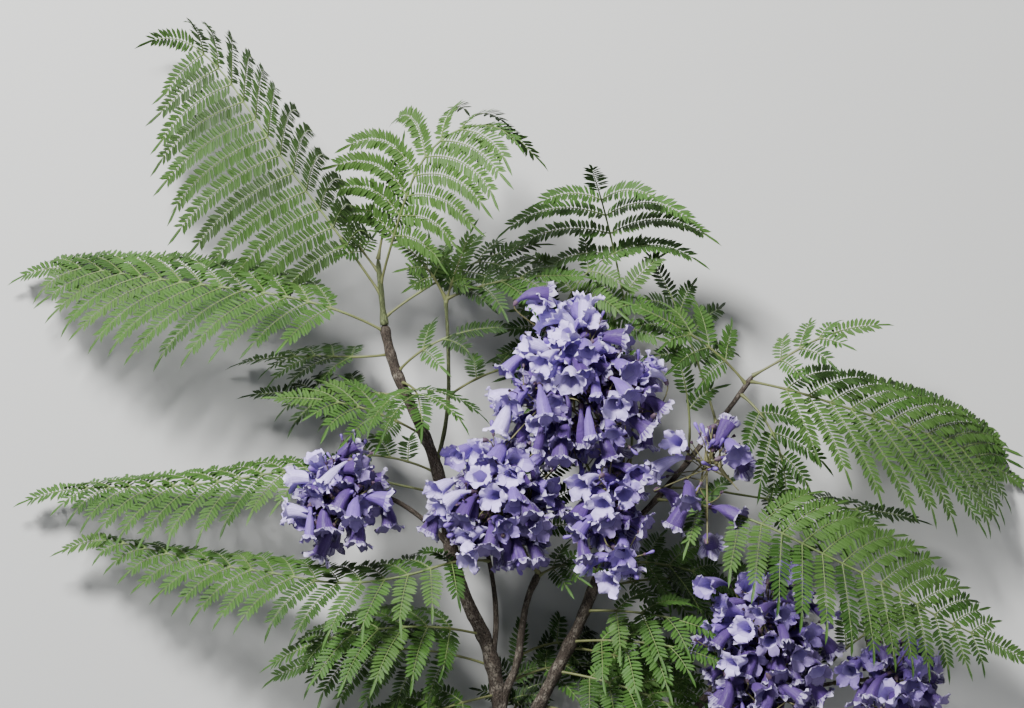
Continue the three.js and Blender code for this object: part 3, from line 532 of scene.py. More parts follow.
def span(tree, value, low, high, out_low=0.0, out_high=1.0):
    """Maps a value from one range to another, held at its ends."""
    limits = {"From Min": low, "From Max": high, "To Min": out_low, "To Max": out_high}
    return add_node(tree, "MapRange", {"Value": value, **limits}).outputs["Result"]


def own_map(tree):
    """The piece's own UV map: across and along each form."""
    return add_node(tree, "UVMap", uv_map="UVMap").outputs[0]


def made_once(build):
    """Lets a function build its node group, named like itself, only when the file has none yet."""
    @functools.wraps(build)
    def find_or_build():
        return bpy.data.node_groups.get(build.__name__) or build(build.__name__)
    return find_or_build


def new_group(name, inputs, outputs):
    """A node group with (name, kind, default) inputs and (name, kind) outputs, and its own ends."""
    group = bpy.data.node_groups.new(name, "ShaderNodeTree")
    for label, kind, default in inputs:
        socket = group.interface.new_socket(name=label, in_out="INPUT", socket_type=f"NodeSocket{kind}")
        socket.default_value = default
    for label, kind in outputs:
        group.interface.new_socket(name=label, in_out="OUTPUT", socket_type=f"NodeSocket{kind}")
    return group, group.nodes.new("NodeGroupInput").outputs, group.nodes.new("NodeGroupOutput").inputs


@made_once
def uneven_tone(name):
    """Uneven lightness of living tissue: broad patches and fine mottling."""
    group, given, result = new_group(
        name,
        [("Color", "Color", (0.5, 0.5, 0.5, 1)), ("Patch Scale", "Float", 30.0), ("Amount", "Float", 0.3)],
        [("Color", "Color"), ("Height", "Float")])
    place = add_node(group, "TexCoord").outputs["Object"]
    broad = add_node(group, "TexNoise", {"Vector": place, "Scale": given["Patch Scale"], "Detail": 3})
    fine = add_node(group, "TexNoise", {"Vector": place, "Scale": 900})
    both = math_node(group, "ADD", broad.outputs[0], math_node(group, "MULTIPLY", fine.outputs[0], 0.5))
    swing = math_node(group, "MULTIPLY", span(group, both, 0.45, 1.05, -1, 1), given["Amount"])
    lightness = math_node(group, "ADD", swing, 1.0)
    tone = add_node(group, "HueSaturation", {"Value": lightness, "Color": given["Color"]})
    feed(group, result["Color"], tone.outputs[0])
    feed(group, result["Height"], fine.outputs[0])
    return group


@made_once
def leaf_veins(name):
    """A pale midrib and slanting side veins from a leaf's own UV map."""
    group, given, result = new_group(
        name, [("Vector", "Vector", (0, 0, 0)), ("Veins", "Float", 9.0)],
        [("Midrib", "Float"), ("Height", "Float")])
    parts = add_node(group, "SeparateXYZ", {"Vector": given["Vector"]})
    off_middle = math_node(group, "ABSOLUTE", math_node(group, "SUBTRACT", parts.outputs["X"], 0.5))
    midrib = span(group, off_middle, 0.0, 0.09, 1, 0)
    slant = math_node(group, "SUBTRACT", parts.outputs["Y"], math_node(group, "MULTIPLY", off_middle, 0.55))
    rate = math_node(group, "MULTIPLY", given["Veins"], 2 * math.pi)
    wave = math_node(group, "SINE", math_node(group, "MULTIPLY", slant, rate))
    veins = span(group, wave, 0.6, 1.0, 0, 0.35)
    feed(group, result["Midrib"], midrib)
    feed(group, result["Height"], math_node(group, "ADD", midrib, veins))
    return group


@made_once
def petal_streaks(name):
    """Fine streaks that run along a petal, from its own UV map."""
    group, given, result = new_group(
        name, [("Vector", "Vector", (0, 0, 0)), ("Streaks", "Float", 11.0)], [("Mask", "Float")])
    stretched = add_node(group, "Mapping", {"Vector": given["Vector"], "Scale": (1.0, 0.06, 1.0)}).outputs[0]
    noise = add_node(group, "TexNoise", {"Vector": stretched, "Scale": given["Streaks"], "Detail": 4})
    feed(group, result["Mask"], span(group, noise.outputs[0], 0.42, 0.62))
    return group


@made_once
def bark_fissures(name):
    """Bark: fissures along the limb, dots across it and pale patches."""
    group, given, result = new_group(
        name, [("Vector", "Vector", (0, 0, 0)), ("Length Scale", "Float", 90.0)],
        [("Fissure", "Float"), ("Dots", "Float"), ("Patch", "Float"), ("Height", "Float")])
    parts = add_node(group, "SeparateXYZ", {"Vector": given["Vector"]})
    turn = math_node(group, "MULTIPLY", parts.outputs["X"], 2 * math.pi)
    ring = add_node(group, "CombineXYZ", {
        "X": math_node(group, "COSINE", turn), "Y": math_node(group, "SINE", turn),
        "Z": math_node(group, "MULTIPLY", parts.outputs["Y"], given["Length Scale"])}).outputs[0]
    fissure = add_node(group, "TexNoise", {"Vector": ring, "Scale": 5.5, "Detail": 5, "Roughness": 0.65})
    crack = span(group, fissure.outputs[0], 0.40, 0.56)
    dots = add_node(group, "TexVoronoi", {"Vector": ring, "Scale": 3.0})
    dot = span(group, dots.outputs["Distance"], 0.12, 0.2, 1, 0)
    patches = add_node(group, "TexNoise", {"Vector": ring, "Scale": 1.1, "Detail": 4})
    feed(group, result["Fissure"], crack)
    feed(group, result["Dots"], dot)
    feed(group, result["Patch"], span(group, patches.outputs[0], 0.5, 0.66))
    feed(group, result["Height"], math_node(group, "ADD", crack, math_node(group, "MULTIPLY", dot, 0.5)))
    return group


def place_group(tree, group, **values):
    """A node of the group, with its inputs by name; an underscore stands for a space."""
    node = add_node(tree, "Group", node_tree=group)
    for label, value in values.items():
        feed(tree, node.inputs[label.replace("_", " ")], value)
    return node


def new_material(name, roughness, specular):
    """An empty material, its node tree and its Principled shader."""
    material = bpy.data.materials.new(name)
    material.use_nodes = True
    shader = material.node_tree.nodes["Principled BSDF"]
    shader.inputs["Roughness"].default_value = roughness
    shader.inputs["Specular IOR Level"].default_value = specular
    return material, material.node_tree, shader


def add_bump(tree, shader, height, strength, distance):
    bump = add_node(tree, "Bump", {"Strength": strength, "Distance": distance, "Height": height})
    feed(tree, shader.inputs["Normal"], bump.outputs[0])


def bark_material(name, main, patch, length_scale=90.0):
    material, tree, shader = new_material(name, roughness=0.85, specular=0.25)
    bark = place_group(tree, bark_fissures(), Vector=own_map(tree), Length_Scale=length_scale)
    base = mix_colors(tree, bark.outputs["Patch"], main, patch)
    cracked = mix_colors(tree, bark.outputs["Fissure"], shade(main, 0.4), base)
    dotted = mix_colors(tree, math_node(tree, "MULTIPLY", bark.outputs["Dots"], 0.55), cracked, patch)
    tone = place_group(tree, uneven_tone(), Color=dotted, Patch_Scale=60.0, Amount=0.25)
    feed(tree, shader.inputs["Base Color"], tone.outputs["Color"])
    feed(tree, shader.inputs["Roughness"], span(tree, bark.outputs["Height"], 0, 1, 0.95, 0.7))
    add_bump(tree, shader, bark.outputs["Height"], strength=0.8, distance=0.0006)
    return material


def wood_material(color, centre):
    """Cut wood: growth rings round the pith, which Object coordinates are centred on."""
    material, tree, shader = new_material("cut_wood", roughness=0.7, specular=0.3)
    place = add_node(tree, "TexCoord").outputs["Object"]
    centred = add_node(tree, "Mapping", {"Vector": place, "Location": shade(centre, -1)}, vector_type="POINT")
    rings = add_node(tree, "TexWave", {"Vector": centred.outputs[0], "Scale": 190, "Distortion": 1.2},
                     wave_type="RINGS", rings_direction="Y").outputs["Fac"]
    ringed = mix_colors(tree, rings, shade(color, 0.62), color)
    tone = place_group(tree, uneven_tone(), Color=ringed, Patch_Scale=200.0, Amount=0.2)
    feed(tree, shader.inputs["Base Color"], tone.outputs["Color"])
    add_bump(tree, shader, rings, strength=0.3, distance=0.0003)
    return material


def leaf_material(name, color):
    """A leaflet's green with a pale midrib, and paler underneath."""
    material, tree, shader = new_material(name, roughness=0.5, specular=0.2)
    veins = place_group(tree, leaf_veins(), Vector=own_map(tree))
    tone = place_group(tree, uneven_tone(), Color=color, Patch_Scale=22.0, Amount=0.3).outputs["Color"]
    pale = mix_colors(tree, 0.2, tone, VEIN_GREEN)
    ribbed = mix_colors(tree, math_node(tree, "MULTIPLY", veins.outputs["Midrib"], 0.6), tone, pale)
    under = mix_colors(tree, 0.16, ribbed, UNDER_GREEN)
    behind = add_node(tree, "NewGeometry").outputs["Backfacing"]
    feed(tree, shader.inputs["Base Color"], mix_colors(tree, behind, ribbed, under))
    add_bump(tree, shader, veins.outputs["Height"], strength=0.5, distance=0.0003)
    return material


def stalk_material(name, color, roughness=0.55, far_color=None):
    """Stalks and ribs; far_color is what the colour turns to 12 cm out from the foot."""
    material, tree, shader = new_material(name, roughness, specular=0.4)
    if far_color:
        along = add_node(tree, "SeparateXYZ", {"Vector": own_map(tree)}).outputs["Y"]
        color = mix_colors(tree, span(tree, along, 0.02, 0.12), color, far_color)
    tone = place_group(tree, uneven_tone(), Color=color, Patch_Scale=45.0, Amount=0.35)
    feed(tree, shader.inputs["Base Color"], tone.outputs["Color"])
    add_bump(tree, shader, tone.outputs["Height"], strength=0.3, distance=0.0002)
    return material


def petal_material(name, color, inside, streak_color, streak, rim):
    """Petals with streaks, another colour inside and, by the share of rim, a pale edge that is a painted
    highlight.
    """
    material, tree, shader = new_material(name, roughness=0.5, specular=0.35)
    place = own_map(tree)
    mask = place_group(tree, petal_streaks(), Vector=place).outputs["Mask"]
    tone = place_group(tree, uneven_tone(), Color=color, Patch_Scale=70.0, Amount=0.22)
    amount = math_node(tree, "MULTIPLY", mask, streak)
    streaked = mix_colors(tree, amount, tone.outputs["Color"], streak_color)
    along = add_node(tree, "SeparateXYZ", {"Vector": place}).outputs["Y"]
    # Painted highlight: the lobe's outer end turns pale by the share of rim
    highlight_edged = mix_colors(tree, span(tree, along, 2.35, 3.0, 0, rim), streaked, PALE_STREAK_AND_PAINTED_HIGHLIGHT)
    behind = add_node(tree, "NewGeometry").outputs["Backfacing"]
    feed(tree, shader.inputs["Base Color"], mix_colors(tree, behind, highlight_edged, inside))
    for label, value in (("Sheen Weight", 0.2), ("Sheen Roughness", 0.35), ("Sheen Tint", SHEEN_TINT)):
        feed(tree, shader.inputs[label], value)
    spot = add_node(tree, "TexCoord").outputs["Object"]
    crumple = add_node(tree, "TexNoise", {"Vector": spot, "Scale": 330, "Detail": 3}).outputs[0]
    height = math_node(tree, "ADD", crumple, math_node(tree, "MULTIPLY", mask, 0.2))
    add_bump(tree, shader, height, strength=0.55, distance=0.0012)
    return material


# Joined meshes

# Corners that would lie below the surface rest a little above it, each at its own height, in
# millimetres; a tube's tip stands out by a share of its last step
FLOOR_GAP = 0.2
FLOOR_SPREAD = 0.5
FLOOR_STEP = 0.618
TIP_RISE = 0.2
SPARE_REFERENCE = (0.31, 0.42, 0.85)


class Skin:
    """Gathers the corners and faces of many small forms, to become one piece."""

    def __init__(self):
        self.spots, self.faces, self.uvs, self.slots, self.creases = [], [], [], [], []
        self.count = 0

    def add(self, spots, faces, uvs, slot=0, creases=None):
        """spots in growth millimetres; faces are rows of four, with -1 in the last for a triangle."""
        spots = np.asarray(spots, float).reshape(-1, 3)
        faces = np.asarray(faces, int)
        self.faces.append(np.where(faces >= 0, faces + self.count, -1))
        self.slots.append(np.full(len(faces), slot))
        self.spots.append(spots)
        self.uvs.append(np.asarray(uvs, float).reshape(-1, 2))
        if creases is not None:
            self.creases.append(np.asarray(creases, int) + self.count)
        self.count += len(spots)

    def build(self, name, *materials):
        """The piece, with the materials in the order of their slots."""
        faces = np.concatenate(self.faces)
        used = faces >= 0
        corners = faces[used]
        starts = np.concatenate([[0], np.cumsum(used.sum(axis=1))[:-1]])
        mesh = bpy.data.meshes.new(name)
        mesh.vertices.add(self.count)
        mesh.vertices.foreach_set("co", self.laid_down().ravel())
        mesh.loops.add(len(corners))
        mesh.loops.foreach_set("vertex_index", corners)
        mesh.polygons.add(len(faces))
        mesh.polygons.foreach_set("loop_start", starts)
        mesh.polygons.foreach_set("material_index", np.concatenate(self.slots))
        mesh.update(calc_edges=True)
        mesh.uv_layers.new(name="UVMap").data.foreach_set("uv", np.concatenate(self.uvs)[corners].ravel())
        for material in materials:
            mesh.materials.append(material)
        mesh.shade_smooth()
        if self.creases:
            self.mark_creases(mesh)
        mesh.validate()
        piece = bpy.data.objects.new(name, mesh)
        bpy.context.scene.collection.objects.link(piece)
        return piece

    def laid_down(self):
        """Corners in metres, with none below the surface that the branch lies on."""
        spots = to_row(np.concatenate(self.spots))
        lowest = (FLOOR_GAP + FLOOR_SPREAD * (np.arange(self.count) * FLOOR_STEP % 1)) * MM
        spots[:, 2] = np.maximum(spots[:, 2], lowest)
        return spots

    def mark_creases(self, mesh):
        """Keeps the edges in creases sharp under smooth shading."""
        ends = np.zeros(len(mesh.edges) * 2, int)
        mesh.edges.foreach_get("vertices", ends)
        ends = np.sort(ends.reshape(-1, 2), axis=1)
        marked = np.sort(np.concatenate(self.creases), axis=1)
        code = marked[:, 0] * self.count + marked[:, 1]
        sharp = np.isin(ends[:, 0] * self.count + ends[:, 1], code)
        mesh.attributes.new("sharp_edge", "BOOLEAN", "EDGE").data.foreach_set("value", sharp)


def grid_faces(rows, columns, closed):
    """Quads of a grid of corners, rows by columns; closed joins the last column to the first."""
    strips = columns if closed else columns - 1
    row, column = np.meshgrid(np.arange(rows - 1), np.arange(strips), indexing="ij")
    row, column = row.ravel(), column.ravel()
    following = (column + 1) % columns
    return np.stack([row * columns + column, row * columns + following,
                     (row + 1) * columns + following, (row + 1) * columns + column], axis=1)


def grid_map(across, along):
    """UV places of a grid from its columns' and its rows' values, which may be one row or column."""
    return np.stack(np.broadcast_arrays(across, along), axis=-1)


def ring_axes(points, reference):
    """Two unit vectors across a line at each of its points, kept level with reference."""
    ahead = unit(np.gradient(points, axis=0))
    beside = np.cross(ahead, reference)
    weak = np.linalg.norm(beside, axis=1) < 1e-3
    beside[weak] = np.cross(ahead[weak], SPARE_REFERENCE)
    beside = unit(beside)
    return beside, np.cross(beside, ahead)


def add_tube(skin, points, radii, sides, reference=UP, capped=True):
    """A round tube through points. Its ring runs so that faces point outwards."""
    beside, above = ring_axes(points, reference)
    turn = even_turns(sides)
    ring = np.cos(turn)[None, :, None] * beside[:, None] - np.sin(turn)[None, :, None] * above[:, None]
    spots = points[:, None] + ring * np.asarray(radii, float)[:, None, None]
    faces = grid_faces(len(points), sides, True)[:, ::-1]
    length = np.concatenate([[0], np.cumsum(np.linalg.norm(np.diff(points, axis=0), axis=1))]) * MM
    uvs = grid_map(np.arange(sides)[None] / sides, length[:, None])
    spots, uvs = spots.reshape(-1, 3), uvs.reshape(-1, 2)
    if capped:
        tip = len(spots)
        spots = np.concatenate([spots, [points[-1] + (points[-1] - points[-2]) * TIP_RISE]])
        uvs = np.concatenate([uvs, [[0.5, length[-1]]]])
        last = (len(points) - 1) * sides
        fan = [[last + (side + 1) % sides, last + side, tip, -1] for side in range(sides)]
        faces = np.concatenate([faces, fan])
    skin.add(spots, faces, uvs)


def curve_points(start, middle, end, shares):
    """Points of a bend from start to end, at the shares or at that many even ones."""
    share = (np.linspace(0, 1, shares) if isinstance(shares, int) else shares)[:, None]
    return start * (1 - share) ** 2 + middle * 2 * share * (1 - share) + end * share ** 2


# Leaves

# How near a pinna may pass, how it sways and sags, and where and how near its solid is looked for
PINNA_ROOM = 9.0
PINNA_SWAY = 0.025
PINNA_SAG = 0.08
OUTER_PART = np.linspace(0.3, 1, 6)
SOLID_PART = 0.85
SOLID_NEAR = 2.5


def frame_at(course, share, across):
    """Places on a course, and there along it, across it and up from the two."""
    ahead = course.along(share)
    across = np.asarray(across, float)
    beside = unit(across - ahead * (ahead @ across)[..., None])
    return course.at(share), ahead, beside, np.cross(beside, ahead)


class Pinna:
    """The line of one pinna, as the solids' rule gives it."""

    def __init__(self, leaf, course, distance, share, row):
        place = np.array([distance / leaf["length"]])
        self.centre, ahead, beside, above = (part[0] for part in frame_at(course, place, leaf["across"]))
        lean = math.radians(blend(leaf.get("lean", PINNA_LEAN), share))
        swell = math.sin(math.pi * blend(PINNA_SPAN, share))
        self.length = leaf["pinna"] * swell ** PINNA_FULLNESS
        rise = leaf.get("rise", PINNA_RISE)
        self.first = unit(beside * row * math.cos(lean) + ahead * math.sin(lean) + above * rise)
        self.last = unit(self.first + DOWN_ON_TREE * leaf.get("droop", PINNA_DROOP))
        self.row = row
        outward = unit(blend((self.first, self.last), WIDEST_PLACE))
        tipward = np.array(leaf.get("turned", ahead))
        self.wide = unit(tipward - outward * (tipward @ outward))
        self.scale = min(1, self.length / PINNA_FULL_LENGTH)
        self.sway = np.zeros(3)

    def at(self, part):
        part = np.asarray(part, float)[..., None]
        spot = self.centre + self.first * self.length * part
        spot = spot + ((self.last - self.first) / 2 + self.sway * part) * self.length * part * part
        spot[..., 2] = np.maximum(spot[..., 2], REST_HEIGHT)
        return spot

    def frames(self, part):
        """Along the rib, across it towards the leaf's tip, and the upper side's normal."""
        part = np.asarray(part, float)
        along = unit(self.at(part + 0.01) - self.at(part - 0.01))
        wide = unit(self.wide - along * (along @ self.wide)[:, None])
        return along, wide, np.cross(wide, along) * -self.row


class EndPinna:
    """The pinna that ends a leaf, on the leaf's own course."""

    def __init__(self, leaf, course):
        self.leaf, self.course = leaf, course
        self.length = END_PINNA
        self.scale = min(1, leaf["pinna"] / PINNA_FULL_LENGTH)

    def share(self, part):
        part = np.asarray(part, float)
        return np.clip(1 - (1 - part) * END_PINNA / self.leaf["length"], 0, 1)

    def at(self, part):
        return self.course.at(self.share(part))

    def frames(self, part):
        return frame_at(self.course, self.share(part), self.leaf["across"])[1:]


def pinna_roots(leaf):
    """How far along its leaf each pair of pinnae stands."""
    start = leaf["bare"] * leaf["length"]
    room = leaf["length"] - END_PINNA - start
    pairs = max(2, half_up(room / PINNA_PITCH))
    pitch = room / pairs
    return [start + (pair + PINNA_OFFSET) * pitch for pair in range(pairs)]


def limb_points():
    return np.concatenate([COURSES[plan["name"]].points for plan in LIMBS])


def keeps_clear(points):
    """Whether a pinna's line stays out of the limbs and the flower clusters."""
    if np.linalg.norm(points[:, None] - limb_points()[None], axis=2).min() < PINNA_ROOM:
        return False
    return all(np.linalg.norm((points - cluster["centre"]) / cluster["radii"], axis=1).min() > 1
               for cluster in CLUSTERS)


def grow_pinnae():
    """Every pinna that the solids have and the others that keep clear, each with its leaf."""
    grown = []
    sway = np.random.default_rng(SEED + 3)
    for leaf in LEAVES + LESSER_LEAVES:
        course = COURSES[leaf["name"]]
        solid = CadTest(leaf["name"]) if leaf in LEAVES else None
        roots = pinna_roots(leaf)
        for pair, distance in enumerate(roots):
            for row in (1, -1):
                pinna = Pinna(leaf, course, distance, (pair + 0.5) / len(roots), row)
                in_solid = solid and solid.holds(pinna.at(SOLID_PART), SOLID_NEAR)
                if in_solid or keeps_clear(pinna.at(OUTER_PART)):
                    pinna.sway = sway.normal(0, PINNA_SWAY, 3) + DOWN_ON_TREE * PINNA_SAG
                    grown.append((leaf, pinna))
        grown.append((leaf, EndPinna(leaf, course)))
    return grown


# A leaflet from base to tip: half widths and lengths, and its faces round the midrib
LEAFLET_SPOTS = np.array([
    [0, 0], [-0.9, 0.2], [-0.96, 0.7], [0, 0.3], [0, 0.7], [0.9, 0.2], [0.96, 0.7], [0, 1]])
LEAFLET_FACES = np.array([
    [0, 5, 3, -1], [0, 3, 1, -1], [3, 5, 6, 4], [3, 4, 2, 1], [4, 6, 7, -1], [4, 7, 2, -1]])
LEAFLET_MIDRIB = np.array([[0, 3], [3, 4], [4, 7]])

# The row of leaflets on a rib: where it starts, how the leaflets lean and swell from foot to tip,
# and what they shrink to on the shortest pinnae
FIRST_LEAFLET = 3.5
FEWEST_LEAFLETS = 3
LEAFLET_LEAN = (76, 40)
LEAN_POWER = 1.6
LEAFLET_SWELL = ((0, 0.15, 0.7, 1), (0.75, 1, 1, 0.84))
SMALL_LENGTH, SMALL_WIDTH, SMALL_END = 0.72, 0.75, 0.6

# How single leaflets differ: a mean and spread in degrees, or the ends of a range
PLACE_RANGE = (-0.1, 0.1)
LEAN_SPREAD = (0, 3)
LIFT_SPREAD = (6, 5)
TILT_SPREAD = (5, 6)
LENGTH_RANGE = (0.94, 1.05)
WIDTH_RANGE = (0.9, 1.08)
FOLD_RANGE = (0.05, 0.35)
DROOP_RANGE = (0.02, 0.12)

# The pointed leaflet at the end: how much of it lies before the rib's end, and its shape
END_ROOT = 0.6
END_OVERLAP = 0.02
END_SWAY = 0.12
END_WIDTH = 0.85
END_FOLD = 0.3
END_DROOP = (0.08, 0.2)

# How many pinnae take another of the painted lit and shaded greens than their leaf's, and which
OTHER_TONE_SHARE = 0.32
OTHER_TONES = {
    "lit": ("painted_half_shade", "young_and_painted_glow"), "young_and_painted_glow": ("lit", "painted_half_shade"), "painted_half_shade": ("painted_shade", "lit"), "painted_shade": ("painted_half_shade", "painted_half_shade")}


def add_leaflets(skin, root, along, side, normal, length, width, fold, droop):
    """Many leaflets at once: arrays of places, three directions and sizes."""
    spots = (root[:, None]
             + side[:, None] * (LEAFLET_SPOTS[None, :, :1] * width[:, None, None] / 2)
             + along[:, None] * (LEAFLET_SPOTS[None, :, 1:] * length[:, None, None]))
    rise = (np.abs(LEAFLET_SPOTS[None, :, 0]) * (width * fold)[:, None] / 2
            - LEAFLET_SPOTS[None, :, 1] ** 2 * (length * droop)[:, None])
    spots = spots + normal[:, None] * rise[..., None]
    count, size = len(root), len(LEAFLET_SPOTS)
    base = (np.arange(count) * size)[:, None, None]
    faces = np.where(LEAFLET_FACES[None] >= 0, LEAFLET_FACES[None] + base, -1).reshape(-1, 4)
    creases = (LEAFLET_MIDRIB[None] + base).reshape(-1, 2)
    uvs = np.tile(LEAFLET_SPOTS * (0.5, 1) + (0.5, 0), (count, 1))
    skin.add(spots, faces, uvs, creases=creases)


def swung(first, second, angle):
    """Directions that stand off from the first towards the second by an angle in radians."""
    return first * np.cos(angle)[:, None] + second * np.sin(angle)[:, None]


def clothe_pinna(skin, pinna, settings, random):
    """Leaflets on both sides of a pinna's rib, and the pointed one at its end."""
    pitch = settings.leaflet_pitch / MM
    full_length = settings.leaflet_length / MM * blend((SMALL_LENGTH, 1), pinna.scale)
    full_width = settings.leaflet_width / MM * blend((SMALL_WIDTH, 1), pinna.scale)
    end_length = settings.end_leaflet / MM * blend((SMALL_END, 1), pinna.scale)
    room = pinna.length - FIRST_LEAFLET - END_ROOT * end_length
    count = max(FEWEST_LEAFLETS, int(room / pitch) + 1)
    part = (FIRST_LEAFLET + np.arange(count) * pitch) / pinna.length
    share = np.linspace(0, 1, count)
    swell = np.interp(share, *LEAFLET_SWELL)
    for side in (1, -1):
        here = part + random.uniform(*PLACE_RANGE, count) * pitch / pinna.length
        along, wide, normal = pinna.frames(here)
        lean = np.radians(blend(LEAFLET_LEAN, share ** LEAN_POWER) + random.normal(*LEAN_SPREAD, count))
        lift = np.radians(random.normal(*LIFT_SPREAD, count))
        ahead = unit(swung(swung(along, wide * side, lean), normal, lift))
        tilt = np.radians(random.normal(*TILT_SPREAD, count))
        top = unit(normal - ahead * np.sum(normal * ahead, axis=1)[:, None])
        across = np.cross(ahead, top)
        towards_tip = np.where(np.sum(across * along, axis=1) > 0, 1.0, -1.0)
        top = unit(swung(top, across, -tilt * side * towards_tip))
        add_leaflets(
            skin, pinna.at(here), ahead, np.cross(ahead, top), top,
            full_length * swell * random.uniform(*LENGTH_RANGE, count),
            full_width * np.sqrt(swell) * random.uniform(*WIDTH_RANGE, count),
            random.uniform(*FOLD_RANGE, count), random.uniform(*DROOP_RANGE, count))
    start = np.array([1 - (END_ROOT + END_OVERLAP) * end_length / pinna.length])
    along, wide, normal = pinna.frames(start)
    ahead = unit(along + wide * random.normal(0, END_SWAY))
    across = np.cross(ahead, normal)
    add_leaflets(
        skin, pinna.at(start), ahead, across, np.cross(across, ahead), np.array([end_length]),
        np.array([full_width * END_WIDTH]), np.array([END_FOLD]), np.array([random.uniform(*END_DROOP)]))


# Flowers

# The shells inside a cluster, the room that each flower needs, in millimetres, and how they gather
INNER_SHELLS = (1.0, 0.8, 0.56)
LOOSE_SHELLS = {"flowers_right": (), "flowers_left": (0.62,), "flowers_low_right": (0.9, 0.6)}
INNER_SHARE = 1.6
SHELL_OFFSET = 0.37
FLOWER_ROOM = 20.5
LIMB_ROOM = 13.0
BELLY_DEPTH = 12
LOWEST_MOUTH = 22
SOLID_BELLY = 37
SOLID_BELLY_NEAR = 1.5
GATHERED = 3
GATHERING = 0.24
GATHERING_RANGE = (0.3, 1)
SCATTER = 0.3

# Sprays of a cluster that fill the room between it and its neighbours
SPRAYS = [
    dict(on="flowers_top", centre=[34, -104, 156], radii=[58, 34, 48], flowers=15),
    dict(on="flowers_front", centre=[88, -112, 152], radii=[44, 34, 40], flowers=11),
    dict(on="flowers_top", centre=[33, 42, 152], radii=[20, 24, 24], flowers=5),
    dict(on="flowers_top", centre=[-16, -50, 152], radii=[22, 24, 30], flowers=6),
    dict(on="flowers_top", centre=[138, -38, 152], radii=[22, 40, 30], flowers=7),
    dict(on="flowers_middle", centre=[44, -126, 144], radii=[28, 28, 32], flowers=9),
    dict(on="flowers_low_right", centre=[205, -238, 128], radii=[28, 30, 26], flowers=5),
]


def numbers_from(seed):
    """The solids' own run of numbers between 0 and 1."""
    state = seed
    while True:
        state = (state * RANDOM_FACTOR) % RANDOM_RANGE
        yield state / RANDOM_RANGE


def flower_site(cluster, index, total, draw, depth=1.0):
    """The place of a flower on a cluster's shell, by the solids' rule."""
    turn = index * GOLDEN_ANGLE
    height = 1 - 2 * (index + 0.5) / total
    ring = math.sqrt(1 - height * height)
    around = np.array([ring * math.cos(turn), height, ring * math.sin(turn)])
    radii = np.array(cluster["radii"], float)
    spread = 1 - cluster["taper"] * height
    reach = 1 - SHELL_DEPTH * next(draw)
    mouth = around * radii * (spread, 1, spread) * reach * depth + cluster["centre"]
    facing = unit(around / radii) + DOWN_ON_TREE * FLOWER_NOD
    facing = unit(facing + np.array([FLOWER_UNEVEN * (next(draw) - 0.5) for _ in range(3)]))
    # The solids' rule draws one number more for each flower
    next(draw)
    sprung = min(max((height + 1) / 2 - FORK_BELOW, AXIS_FORKS[0]), AXIS_FORKS[1])
    return dict(cluster=cluster["name"], mouth=mouth, facing=facing, sprung=sprung, depth=depth)


def shell_sites(cluster, order, draw):
    """Places on the shells inside a cluster, then on its sprays."""
    sites = []
    for shell, depth in enumerate(LOOSE_SHELLS.get(cluster["name"], INNER_SHELLS), start=1):
        draw = numbers_from(SEED + 100 * shell + order)
        total = int(cluster["flowers"] * INNER_SHARE)
        sites += [flower_site(cluster, index + SHELL_OFFSET * shell % 1, total, draw, depth)
                  for index in range(total - 1)]
    for spray in SPRAYS:
        if spray["on"] == cluster["name"]:
            shape = dict(cluster, **spray)
            sites += [flower_site(shape, index, spray["flowers"], draw) for index in range(spray["flowers"])]
    return sites


def plan_flowers():
    """The solids' flowers, then as many more as find room in and between them."""
    planned = []
    limbs = limb_points()
    for order, cluster in enumerate(CLUSTERS):
        draw = numbers_from(SEED + order)
        solid = CadTest(cluster["name"])
        spare = []
        for index in range(cluster["flowers"]):
            site = flower_site(cluster, index, cluster["flowers"], draw)
            base = site["mouth"] - site["facing"] * CAD_FLOWER_LENGTH
            if solid.holds(base + site["facing"] * SOLID_BELLY, SOLID_BELLY_NEAR):
                planned.append(dict(site, kept=True))
            else:
                spare.append(site)
        for site in spare + shell_sites(cluster, order, draw):
            near = min((np.linalg.norm(site["mouth"] - other["mouth"]) for other in planned), default=1e3)
            belly = site["mouth"] - site["facing"] * BELLY_DEPTH
            limb = np.linalg.norm(limbs - belly, axis=1).min()
            if near > FLOWER_ROOM and limb > LIMB_ROOM and site["mouth"][2] > LOWEST_MOUTH:
                planned.append(dict(site, kept=False))
    return gather(planned)


def gather(planned):
    """Draws the flowers into little groups and turns each a little its own way."""
    random = np.random.default_rng(SEED + 2)
    for cluster in CLUSTERS:
        sites = [site for site in planned if site["cluster"] == cluster["name"]]
        heads = np.array([site["mouth"] for site in sites[::GATHERED]])
        for site in sites:
            gap = heads - site["mouth"]
            nearest = gap[np.linalg.norm(gap, axis=1).argmin()]
            site["mouth"] = site["mouth"] + nearest * GATHERING * random.uniform(*GATHERING_RANGE)
            site["facing"] = unit(site["facing"] + random.normal(0, SCATTER, 3))
    return planned


# A flower: its lobes and the corners round its mouth, and its tube's rows from base to mouth, of
# which the neck's keep their radius when the mouth's changes
LOBES = 5
LOBE_COLUMNS = 4
AROUND = LOBES * LOBE_COLUMNS
TUBE_ROWS = np.array([0, 0.22, 0.42, 0.62, 0.84, 1.0])
TUBE_RADII = np.array([2.0, 2.1, 4.0, 6.5, 7.6, 8.5])
NECK_ROWS = 2
TUBE_MAP = 2
LOBE_ROWS = np.array([0.0, 0.32, 0.66, 0.9, 1.0])
LOBE_WIDTHS = np.array([1.0, 1.28, 1.38, 1.14, 0.82])

